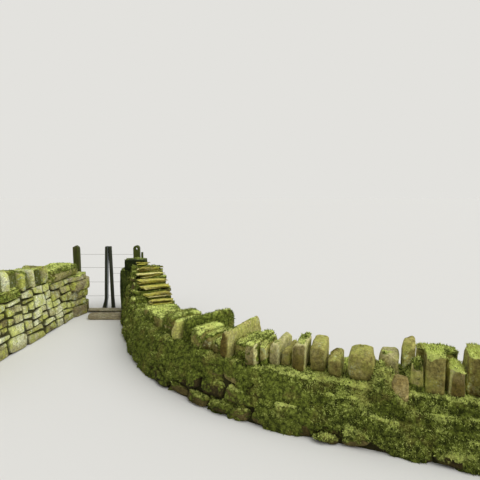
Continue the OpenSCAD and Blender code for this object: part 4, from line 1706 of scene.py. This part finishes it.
@dataclass
class RightWall:
    """The right wall: its walling, the flat slabs on its steps, its stoop and its copes.

    Fields:
        near_batter, far_batter: how its path and field faces lean in.
        straight, bend_r, bend_turn, outer: its straight part, its bend and what follows.
        core_h: height of the walling past the steps.
        tread_n, tread_h, tread_d, tread_first: the steps' number, height, depth and start.
        flag_past: how far the middle flags reach past the slabs towards the path.
        wedge_s: where the bare wedge stands along the wall.
        mounds: distance along, offset in and height of the moss mounds by the wedge.
        bare_between: distances between which the small copes are bare.
        near_x: what lies to the right of this counts as near.
        inner, mossy: the bend's centre, and what sprigs of moss grow on.
    """

    width: float = 0.65
    near_batter: float = 0.25
    far_batter: float = 0.05
    heading: float = math.radians(-70.0)
    straight: float = 1.35
    bend_r: float = 3.3
    bend_turn: float = math.radians(50.0)
    outer: float = 2.15
    core_h: float = 0.45
    tread_n: int = 7
    tread_h: float = 0.06
    tread_d: float = 0.17
    tread_first: float = 0.2
    slab_t: float = 0.045
    flag_past: float = 0.10
    wedge_s: float = 4.895
    mounds: tuple = ((4.750, 0.190, 0.21), (4.835, 0.185, 0.21), (4.900, 0.230, 0.20),
                     (4.955, 0.235, 0.29))
    bare_between: tuple = (3.90, 4.90)
    near_x: float = 2.6
    seed: int = 37
    looks: tuple = (CopeLook(0.42, 0.05, 0.3), CopeLook(0.22, 0.3, 0.0), CopeLook(0.75, 0.0, 0.4),
                    CopeLook(0.48, 0.4, 0.5), CopeLook(0.45, 0.2, 0.6), CopeLook(0.04, 0.1, 1.0, 0.20),
                    CopeLook(0.36, 0.2, 0.8), CopeLook(-0.05, 0.2, 0.7, 0.25),
                    CopeLook(-0.1, 0.2, 0.3, 0.35, boulder=True), CopeLook(-0.02, 0.3, 0.2, 0.45),
                    CopeLook(-0.25, 0.3, 0.1), CopeLook(0.26, 0.62, 0.5, 0.15),
                    CopeLook(0.26, 0.55, 0.9, 0.10))
    body: WallBody = field(init=False)
    inner: tuple = field(init=False)
    mossy: dict = field(default_factory=lambda: {"far": [], "near": []})

    def __post_init__(self) -> None:
        """Places the walling from the frame."""
        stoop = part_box("right_stoop")[0]
        plan = Plan((stoop.x, stoop.y), self.heading, self.straight, self.bend_r, self.bend_turn, self.outer)
        self.inner = tuple(plan.place(np.array([plan.straight]), np.array([plan.radius]))[0])
        steps_top = self.core_h + self.tread_n * self.tread_h

        def top(a: Array) -> Array:
            """The walling's height: down by a step at each tread, then level."""
            k = np.ceil(np.clip((a - self.tread_first) / self.tread_d, 0.0, None))
            stepped = steps_top - k * self.tread_h - self.slab_t
            return np.where(k < self.tread_n, stepped, self.core_h)

        self.body = WallBody(plan, self.width, self.near_batter, self.far_batter, top,
                             math.tan(self.heading + math.radians(90.0)))

    def cover(self, s: Array, z: Array) -> Array:
        """Moss on the path face: thick by the gap, thinner in the bend's shade, thick beyond it.

        Args:
            s, z: distances along the wall and heights up the face.

        Returns:
            Shares of moss from 0 to 1.
        """
        far = 0.60 * smoothstep(3.0, 1.7, s)
        near = 0.56 + 0.20 * smoothstep(0.03, 0.22, z)
        shade = 0.52 + 0.08 * smoothstep(0.2, 0.42, z)
        base = np.maximum(np.maximum(far, near * smoothstep(3.3, 4.3, s)), shade)
        under = smoothstep(0.15, 0.06, self.body.top(s) - z) * smoothstep(1.45, 1.30, s)
        return base * (1.0 - 0.3 * under) + 0.02

    def heap(self, s: Array, o: Array) -> Array:
        """Height of the moss: low under the flags, and in mounds before the copes at the wedge.

        Args:
            s, o: distances along the wall and offsets in from its foot.

        Returns:
            Heights in metres.
        """
        value = 0.008 + 0.032 * smoothstep(1.35, 1.75, s) - 0.012 * smoothstep(2.6, 3.2, s)
        for at_s, at_o, tall in self.mounds:
            value = np.maximum(value, tall * np.exp(-((s - at_s) / 0.06) ** 2 - ((o - at_o) / 0.09) ** 2))
        clear = np.exp(-((s - self.wedge_s) / 0.05) ** 2) * smoothstep(0.17, 0.13, o)
        return value * (1.0 - clear)

    def side(self, surface: Surface) -> str:
        """Which group of mossy surfaces one belongs to, by its place."""
        return "near" if surface.points[:, 0].mean() > self.near_x else "far"

    def dress(self, node: str, name: str, finish: StoneFinish, wear: Union[Wear, Callable[[Array], Wear]],
              seed: int) -> None:
        """Replaces a node by worn stones, one for each solid.

        Args:
            node: the frame's node.
            name: the new piece's name.
            finish: its finish.
            wear: how the stones are worn, for all or from each one's points.
            seed: picks their shapes.
        """
        stones = [Block.of_solid(points).surface(wear(points) if callable(wear) else wear,
                                                 seed + 11 * k, self.inner)
                  for k, points in enumerate(solids_of(node))]
        for stone in stones:
            self.mossy[self.side(stone)].append(stone)
        add_piece(name, Surface.join(stones), finish, [node])

    def build(self) -> None:
        """Builds the walling, slabs, stoop and copes, and the moss that stands on them."""
        walling = Walling(
            self.body, Rubble(proud=0.022, bulge=0.03, square=4.5, turn=0.10, rough=0.010, joint=0.006,
                              behind=0.028),
            Growth(cover=0.42, patch=0.7, depth=0.018, fresh_and_lit=0.25), self.cover,
            # Darker towards the ground with soil and painted shade, and moss painted brighter further along
            # the wall
            soil_and_shade=lambda z: 0.22 + 0.55 * smoothstep(0.24, 0.0, z),
            fresh_and_lit=lambda s: 0.02 + 0.30 * smoothstep(2.8, 4.6, s), heap=self.heap, seed=self.seed)
        plan = self.body.plan
        spans = [("straight", 0.0, plan.straight), ("bend", plan.straight, plan.bend_end),
                 ("outer", plan.bend_end, plan.length)]
        stones = [pair for face in Face for pair in walling.face_stones(face)]
        for name, begin, end in spans:
            inside = Surface.join([stone for at, stone in stones
                                   if at >= begin and (at < end or name == "outer")])
            core = walling.core(begin, end)
            self.mossy[self.side(core)] += [inside, core]
            add_piece("right_%s_stones" % name, inside, RIGHT_STONE)
            add_piece("right_%s_core" % name, core, RIGHT_STONE, ["right_wall_" + name])
        self.slabs()
        self.stoop()
        self.copes()
        for k, (name, most, lighter) in enumerate((("far", 28000, 0.0), ("near", 42000, 0.14))):
            sprigs = Sprigs(most=most, lighter=lighter).on(self.mossy[name], seed=890 + k)
            add_piece("right_%s_moss_sprigs" % name, sprigs, COPE_STONE)

    def slabs(self) -> None:
        """Builds three thin flags on each step, laid unevenly one on the other."""
        ahead = np.array([math.cos(self.heading), math.sin(self.heading)])
        outward = np.array([ahead[1], -ahead[0]])
        solids = sorted(solids_of("right_flat_slabs"), key=lambda p: -p[:, 2].max())
        flags = []
        for k, points in enumerate(solids):
            rng = np.random.default_rng(700 + k)
            levels = Block.of_solid(points).levels
            low, high, outline = levels[0][0], levels[-1][0], levels[0][1]
            middle = outline.mean(0)
            past = self.flag_past * math.sin(math.pi * (k + 0.5) / len(solids))
            outline = outline + past * ((outline - middle) @ outward > 0)[:, None] * outward
            cuts = [low] + sorted(low + (high - low) * rng.uniform([0.26, 0.58], [0.42, 0.74])) + [high]
            for part, bed in enumerate(zip(cuts, cuts[1:])):
                flag = self.flag(outline, middle, bed, part > 0, rng, 720 + 3 * k + part)
                # Painted shade, with some soil, on each flag's riser, the face that looks along the wall, by
                # a random amount
                riser_soil_and_shade = rng.uniform(0.1, 0.9)
                flag.marks["soil_and_shade"] = riser_soil_and_shade * smoothstep(0.3, 0.8, flag.normals()[:, :2] @ ahead)
                flags.append(flag)
        add_piece("right_step_flags", Surface.join(flags), SLAB_STONE, ["right_flat_slabs"])

    def flag(self, outline: Array, middle: Array, bed: tuple, aslant: bool, rng: Random,
             seed: int) -> Surface:
        """One flag: an outline stretched, turned and shifted a little.

        Args:
            outline, middle: the outline's corners and its middle.
            bed: heights between which the flag lies.
            aslant: whether it lies a little aslant.
            rng: where its shape comes from.
            seed: picks its wear.

        Returns:
            The flag.
        """
        spread = 1.0 + rng.uniform(-0.16, 0.05, (len(outline), 1))
        turn = rng.uniform(0.0, 0.28)
        turned = (outline - middle) * spread @ np.array([[math.cos(turn), math.sin(turn)],
                                                         [-math.sin(turn), math.cos(turn)]])
        plan = convex_outline(middle + turned + rng.uniform(-0.022, 0.022, 2))
        low, high = bed[0] + 0.003, bed[1]
        slope = rng.uniform(-0.05, 0.03, 2) * aslant

        def roof(x: Array, y: Array, share: Array) -> Array:
            """Height in a flag that lies a little aslant."""
            return low + (high - low) * share + ((x - middle[0]) * slope[0] + (y - middle[1]) * slope[1])

        wear = Wear(around=72, side_rows=1, edge=0.004, chips=10, chip_depth=0.03, lump=0.004,
                    lump_size=0.08, growth=Growth(cover=0.10, lift=0.1, patch=0.8, depth=0.008, fresh_and_lit=0.3))
        return Block([(low, plan), (high, plan)], roof).surface(wear, seed)

    def stoop(self) -> None:
        """Builds the stoop and the block on it."""
        growth = Growth(cover=0.34, lift=0.6)
        tall = Wear(around=80, side_rows=26, edge=0.016, chips=10, chip_depth=0.03, lump=0.010,
                    lump_size=0.16, growth=growth)
        cap = Wear(around=64, side_rows=8, edge=0.005, chips=3, chip_depth=0.008, lump=0.005, soften=0,
                   growth=replace(growth, lift=0.4, depth=0.005))
        self.dress("right_stoop", "right_stoop_stone", STOOP_STONE, tall, seed=801)
        self.dress("right_stoop_cap", "right_stoop_block", STOOP_STONE, cap, seed=802)

    def copes(self) -> None:
        """Builds every cope stone and the bare wedge."""
        upright = Wear(around=60, side_rows=13, edge=0.02, chips=9, chip_depth=0.018, lump=0.008,
                       growth=Growth(lift=1.15, patch=0.42, depth=0.016, foot=0.2))
        round_one = replace(upright, edge=0.09, chips=6, chip_depth=0.02, lump=0.012, soften=5)
        # Each cope is darker with soil and painted shade, most on its end towards the path, and its moss is
        # painted brighter by its look
        for k, look in enumerate(self.looks):
            growth = replace(upright.growth, cover=look.cover, fresh_and_lit=look.fresh_and_lit)
            wear = replace(round_one if look.boulder else upright, soil_and_shade=look.soil_and_shade, front_soil_and_shade=look.front,
                           growth=growth)
            self.dress("right_cope_%d" % (k + 1), "cope_stone_%d" % (k + 1), COPE_STONE, wear, 820 + k)
        # The small and outer copes are darker with soil and painted shade on their ends towards the path, and
        # the outer ones' moss is painted brighter
        mossy = replace(upright, around=48, side_rows=10, front_soil_and_shade=0.6,
                        growth=Growth(cover=0.30, lift=1.0, patch=0.5, depth=0.016, fresh_and_lit=0.15, foot=0.5))
        bare = replace(mossy, soil_and_shade=0.3, front_soil_and_shade=0.4,
                       growth=replace(mossy.growth, cover=-0.1, fresh_and_lit=0.2, foot=0.6))
        near = replace(mossy, front_soil_and_shade=0.85,
                       growth=replace(mossy.growth, cover=0.26, lift=1.15, patch=0.45, fresh_and_lit=0.55))
        first, last = self.body.plan.place(np.array(self.bare_between), np.array([0.3, 0.3]))[:, 0]
        self.dress("right_small_copes", "cope_stones_between", COPE_STONE,
                   lambda p: bare if first < p[:, 0].mean() < last else mossy, seed=850)
        self.dress("right_outer_copes", "cope_stones_outer", COPE_STONE, near, seed=870)
        self.wedge()

    def wedge(self) -> None:
        """Builds the bare wedge: a flat stone of eight corners, its point down to the right.

        Rings of its outline lead from the front to the back, drawn in at both.
        """
        solid = solids_of("right_wedge_stone")[0]
        middle = (solid.min(0) + solid.max(0)) / 2
        heading = self.heading + self.bend_turn
        along = np.array([math.cos(heading), math.sin(heading)])
        inward = np.array([-along[1], along[0]])
        half_s, half_o = (np.abs((solid[:, :2] - middle[:2]) @ way).max() for way in (along, inward))
        half_z = np.ptp(solid[:, 2]) / 2
        corners = np.array([(-0.40, -0.80), (0.84, -1.0), (0.98, -0.90), (1.0, 0.62), (0.84, 0.98),
                            (-0.60, 1.0), (-1.0, 0.46), (-0.84, -0.30)])
        across, up = walk_outline(corners, 48, 0.0).T[..., None]
        rows = [(-0.98, 0.35), (-1.0, 0.72), (-0.98, 0.92), (-0.86, 1.0), (-0.4, 1.02), (0.2, 1.0),
                (0.7, 0.96), (0.95, 0.88), (1.0, 0.6), (1.0, 0.3)]
        rings = np.array([
            np.concatenate([middle[:2] + (across * share * half_s) * along
                            + (deep * half_o + 0.008 * up) * inward, middle[2] + up * share * half_z], 1)
            for deep, share in rows])
        rings = chipped(rings, chips=6, depth=0.012, rng=np.random.default_rng(890))
        stone = ring_stack(rings, tone=0.6)
        rough = 0.005 * layered_noise(stone.points, 0.05, 890)
        stone.points = stone.points + stone.normals() * rough[:, None]
        add_piece("bare_wedge", stone, BARE_STONE, ["right_wedge_stone"])


@dataclass
class Gap:
    """What lies and stands in the gap: the threshold slab, the step stone and the uprights.

    Fields:
        slab_back_t: thickness of the slab at its back.
        undercut_h, undercut_d: height and depth of the slab's undercut front.
        step_rise: how far the step stone's top rises to the right, as a share of its height.
    """

    slab_back_t: float = 0.015
    undercut_h: float = 0.032
    undercut_d: float = 0.05
    step_rise: float = 0.13
    timber: Wear = Wear(around=28, side_rows=34, edge=0.003, chips=3, chip_depth=0.005, lump=0.0015,
                        lump_size=0.12, growth=None)

    def build(self) -> None:
        """Builds the slab, the step and the timbers, all but one with painted sky light on the right."""
        self.threshold()
        self.step()
        timbers = [("gap_upright_left", "left_upright", 1.0), ("gap_upright_right", "right_upright", 0.0),
                   ("gap_packing_block", "packing_block", 1.0)]
        for k, (node, name, painted_sky_light) in enumerate(timbers):
            timber = worn(node, self.timber, seed=901 + k)
            # Painted sky light on the faces turned to the right, where the light comes from
            timber.marks["fresh_and_lit"] = smoothstep(0.90, 0.98, timber.normals()[:, 0] * painted_sky_light)
            add_piece(name, timber, DARK_TIMBER, [node])

    def threshold(self) -> None:
        """Builds the threshold slab: its top falls to the back and its front is undercut."""
        low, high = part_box("threshold_slab")
        lip = low.y + self.undercut_d

        def roof(x: Array, y: Array, share: Array) -> Array:
            """Height between the undercut underside and the sloping top."""
            back = np.clip((y - low.y) / (high.y - low.y), 0.0, 1.0)
            top = high.z + (self.slab_back_t - high.z) * back
            under = self.undercut_h * smoothstep(lip + 0.004, lip - 0.004, y)
            return under + (top - under) * share

        wear = Wear(around=72, side_rows=2, edge=0.006, chips=4, chip_depth=0.012, lump=0.003,
                    growth=Growth(cover=0.04, lift=0.3, patch=0.4, depth=0.006))
        slab = Block.from_ground("threshold_slab", high.z, roof).surface(wear, seed=911)
        add_piece("threshold_flag", slab, STEP_STONE, ["threshold_slab"])

    def step(self) -> None:
        """Builds the step stone, a little higher at its right end."""
        low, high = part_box("step_stone")

        def roof(x: Array, y: Array, share: Array) -> Array:
            """Height between the ground and a top that rises to the right."""
            right = np.clip((x - low.x) / (high.x - low.x), 0.0, 1.0)
            return high.z * (1.0 - self.step_rise * (1.0 - right)) * share

        wear = Wear(around=80, side_rows=3, edge=0.014, chip_depth=0.02,
                    growth=Growth(cover=0.05, lift=0.3, patch=0.5, depth=0.006))
        stone = Block.from_ground("step_stone", high.z, roof).surface(wear, seed=912)
        add_piece("worn_step_stone", stone, STEP_STONE, ["step_stone"])


@dataclass
class Fence:
    """The post and wire fence behind the gap.

    Fields:
        wobble: how far the wires wander up and down.
        held: how near to its ends a wire starts to wander.
        wire_points, wire_around: points along a wire and round it.
        staple_r: radius of a staple's wire.
    """

    wobble: float = 0.003
    held: float = 0.1
    wire_points: int = 60
    wire_around: int = 8
    staple_r: float = 0.0016
    post: Wear = Wear(around=36, side_rows=30, edge=0.005, chips=3, chip_depth=0.008, lump=0.002,
                      growth=None)
    batten: Wear = replace(post, around=24, side_rows=20, edge=0.003, chip_depth=0.005, lump=0.001)

    def build(self) -> None:
        """Builds the posts, the batten and the wires; the right post keeps its frame mesh."""
        self.pointed_post()
        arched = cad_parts["fence_post_right"].data
        arched.materials.clear()
        arched.materials.append(FENCE_TIMBER.material())
        batten = worn("fence_batten", self.batten, seed=931)
        add_piece("short_batten", batten, FENCE_TIMBER, ["fence_batten"])
        self.wires()

    def pointed_post(self) -> None:
        """Builds the left post: a squared timber whose top falls to both sides."""
        low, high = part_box("fence_post_left")
        shoulder = max(z for z in solids_of("fence_post_left")[0][:, 2] if z < high.z - 1e-3)
        outline = np.array([[low.x, low.y], [high.x, low.y], [high.x, high.y], [low.x, high.y]])
        middle, half = (low.x + high.x) / 2, (high.x - low.x) / 2

        def roof(x: Array, y: Array, share: Array) -> Array:
            """Height up to the two slopes of the top."""
            fall = np.clip(np.abs(x - middle) / half, 0.0, 1.0)
            return (high.z - (high.z - shoulder) * fall) * share

        post = Block([(0.0, outline), (high.z, outline)], roof).surface(self.post, seed=921)
        add_piece("pointed_post", post, FENCE_TIMBER, ["fence_post_left"])

    def wires(self) -> None:
        """Builds the wires: circles carried along lines that wander by a few millimetres."""
        tubes = []
        posts = [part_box("fence_post_left"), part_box("fence_post_right")]
        for k, points in enumerate(solids_of("fence_wires")):
            low, high = points.min(0), points.max(0)
            middle, radius = (low + high) / 2, (high[2] - low[2]) / 2
            x = np.linspace(low[0], high[0], self.wire_points)
            line = np.stack([x, np.full_like(x, middle[1]), np.full_like(x, middle[2])], -1)
            free = np.clip(np.minimum(x - x[0], x[-1] - x) / self.held, 0.0, 1.0)
            line[:, 2] += self.wobble * layered_noise(line, 0.35, 940 + k) * free
            tubes.append(self.tube(line, radius))
            for left, right in posts:
                post_x = (left.x + right.x) / 2
                if low[0] < post_x < high[0]:
                    tubes.append(self.staple(post_x, right.y, middle[2], radius))
        add_piece("fence_wire_runs", Surface.join(tubes), WIRE, ["fence_wires"])

    def tube(self, line: Array, radius: float) -> Surface:
        """A tube round a line: at each point a ring square to the way ahead.

        Args:
            line: its points.
            radius: the ring's radius.

        Returns:
            The closed tube.
        """
        ahead = unit(np.gradient(line, axis=0))
        side = unit(np.cross(ahead, np.array([0.02, 0.31, 0.95])))
        third = np.cross(ahead, side)
        angle = np.arange(self.wire_around) / self.wire_around * 2 * math.pi
        ring = np.cos(angle)[None, :, None] * side[:, None] + np.sin(angle)[None, :, None] * third[:, None]
        return ring_stack(line[:, None] + radius * ring)

    def staple(self, x: float, back: float, z: float, wire_r: float) -> Surface:
        """A staple: half a circle over the wire, its legs driven into the post's back.

        Args:
            x, back, z: its place: the post's middle, the post's back and the wire's height.
            wire_r: the wire's radius.

        Returns:
            The staple.
        """
        angle = np.linspace(0.0, math.pi, 9)
        reach = wire_r + self.staple_r
        bow = np.stack([np.full_like(angle, x), back + wire_r + reach * 1.4 * np.sin(angle),
                        z + reach * 1.5 * np.cos(angle)], -1)
        legs = bow[[0, -1]] - np.array([0.0, 0.012, 0.0])
        return self.tube(np.concatenate([legs[:1], bow, legs[1:]]), self.staple_r)


@dataclass(frozen=True)
class Studio:
    """The plain floor, the light and the camera at the photograph's viewing angle.

    Fields:
        eye, pitch: the camera's place and how it looks up or down.
        lens, sensor: its focal length and the width of its sensor, in millimetres.
        floor_half, floor_drop: half the floor's width, and how far it lies under the object.
        seen_color: what stands behind the floor.
    """

    eye: tuple = (2.19, -6.45, 1.9)
    pitch: float = math.radians(-6.277)
    lens: float = 30.0
    sensor: float = 36.0
    floor_half: float = 400.0
    floor_drop: float = 0.001
    floor_color: tuple = srgb(226, 225, 221)
    sky_color: tuple = srgb(240, 240, 239)
    seen_color: tuple = srgb(227, 226, 222)
    sky_strength: float = 0.60
    key_from: tuple = (1.2, -0.7, 1.7)
    key_strength: float = 1.9
    key_angle: float = math.radians(60.0)

    def build(self) -> None:
        """Makes the camera, the lights, the world and the floor."""
        scene = bpy.context.scene
        scene.view_settings.view_transform = "Standard"
        camera = bpy.data.cameras.new("camera")
        camera.lens = self.lens
        camera.sensor_width = self.sensor
        camera.clip_end = 2 * self.floor_half
        scene.camera = self.place("camera", camera, (math.pi / 2 + self.pitch, 0.0, 0.0))
        scene.camera.location = self.eye
        lamp = bpy.data.lights.new("key", "SUN")
        lamp.energy = self.key_strength
        lamp.angle = self.key_angle
        x, y, z = self.key_from
        self.place("key", lamp, (math.atan2(math.hypot(x, y), z), 0.0, math.atan2(y, x) + math.pi / 2))
        self.world(scene)
        self.floor()

    def place(self, name: str, data: bpy.types.ID, turn: tuple = (0.0, 0.0, 0.0)) -> bpy.types.Object:
        """Puts a camera, a light or a mesh into the scene.

        Args:
            name: the object's name.
            data: what it shows.
            turn: how it is turned.

        Returns:
            The object.
        """
        holder = bpy.data.objects.new(name, data)
        holder.rotation_euler = turn
        bpy.context.scene.collection.objects.link(holder)
        return holder

    def world(self, scene: bpy.types.Scene) -> None:
        """Makes a pale sky that lights the object evenly and shows the floor's tone behind it.

        Args:
            scene: the scene that gets it.
        """
        world = bpy.data.worlds.new("studio")
        scene.world = world
        world.use_nodes = True
        world.node_tree.nodes.clear()
        bench = Bench(world.node_tree)
        light = bench.node("ShaderNodeBackground", {"Color": self.sky_color, "Strength": self.sky_strength})
        seen = bench.node("ShaderNodeBackground", {"Color": self.seen_color, "Strength": 1.0})
        path = bench.node("ShaderNodeLightPath").outputs
        either = bench.math("MAXIMUM", path["Is Camera Ray"], path["Is Glossy Ray"])
        both = bench.node("ShaderNodeMixShader", {0: either, 1: light.outputs[0], 2: seen.outputs[0]})
        bench.node("ShaderNodeOutputWorld", {"Surface": both.outputs[0]})

    def floor(self) -> None:
        """Lays a wide level floor just under the object."""
        half, low = self.floor_half, -self.floor_drop
        mesh = bpy.data.meshes.new("floor")
        corners = [(-half, -half, low), (half, -half, low), (half, half, low), (-half, half, low)]
        mesh.from_pydata(corners, [], [(0, 1, 2, 3)])
        made = bpy.data.materials.new("studio_floor")
        made.use_nodes = True
        shader = made.node_tree.nodes["Principled BSDF"]
        shader.inputs["Base Color"].default_value = self.floor_color
        shader.inputs["Roughness"].default_value = 0.9
        mesh.materials.append(made)
        floor = self.place("floor", mesh)


def main() -> None:
    """Builds the studio and every sub-assembly in order."""
    logging.basicConfig(level=logging.INFO, format="%(name)s %(message)s")
    for assembly in (Studio(), LeftWall(), RightWall(), Gap(), Fence()):
        LOG.info("building %s", type(assembly).__name__)
        assembly.build()


if __name__ == "__main__":
    main()
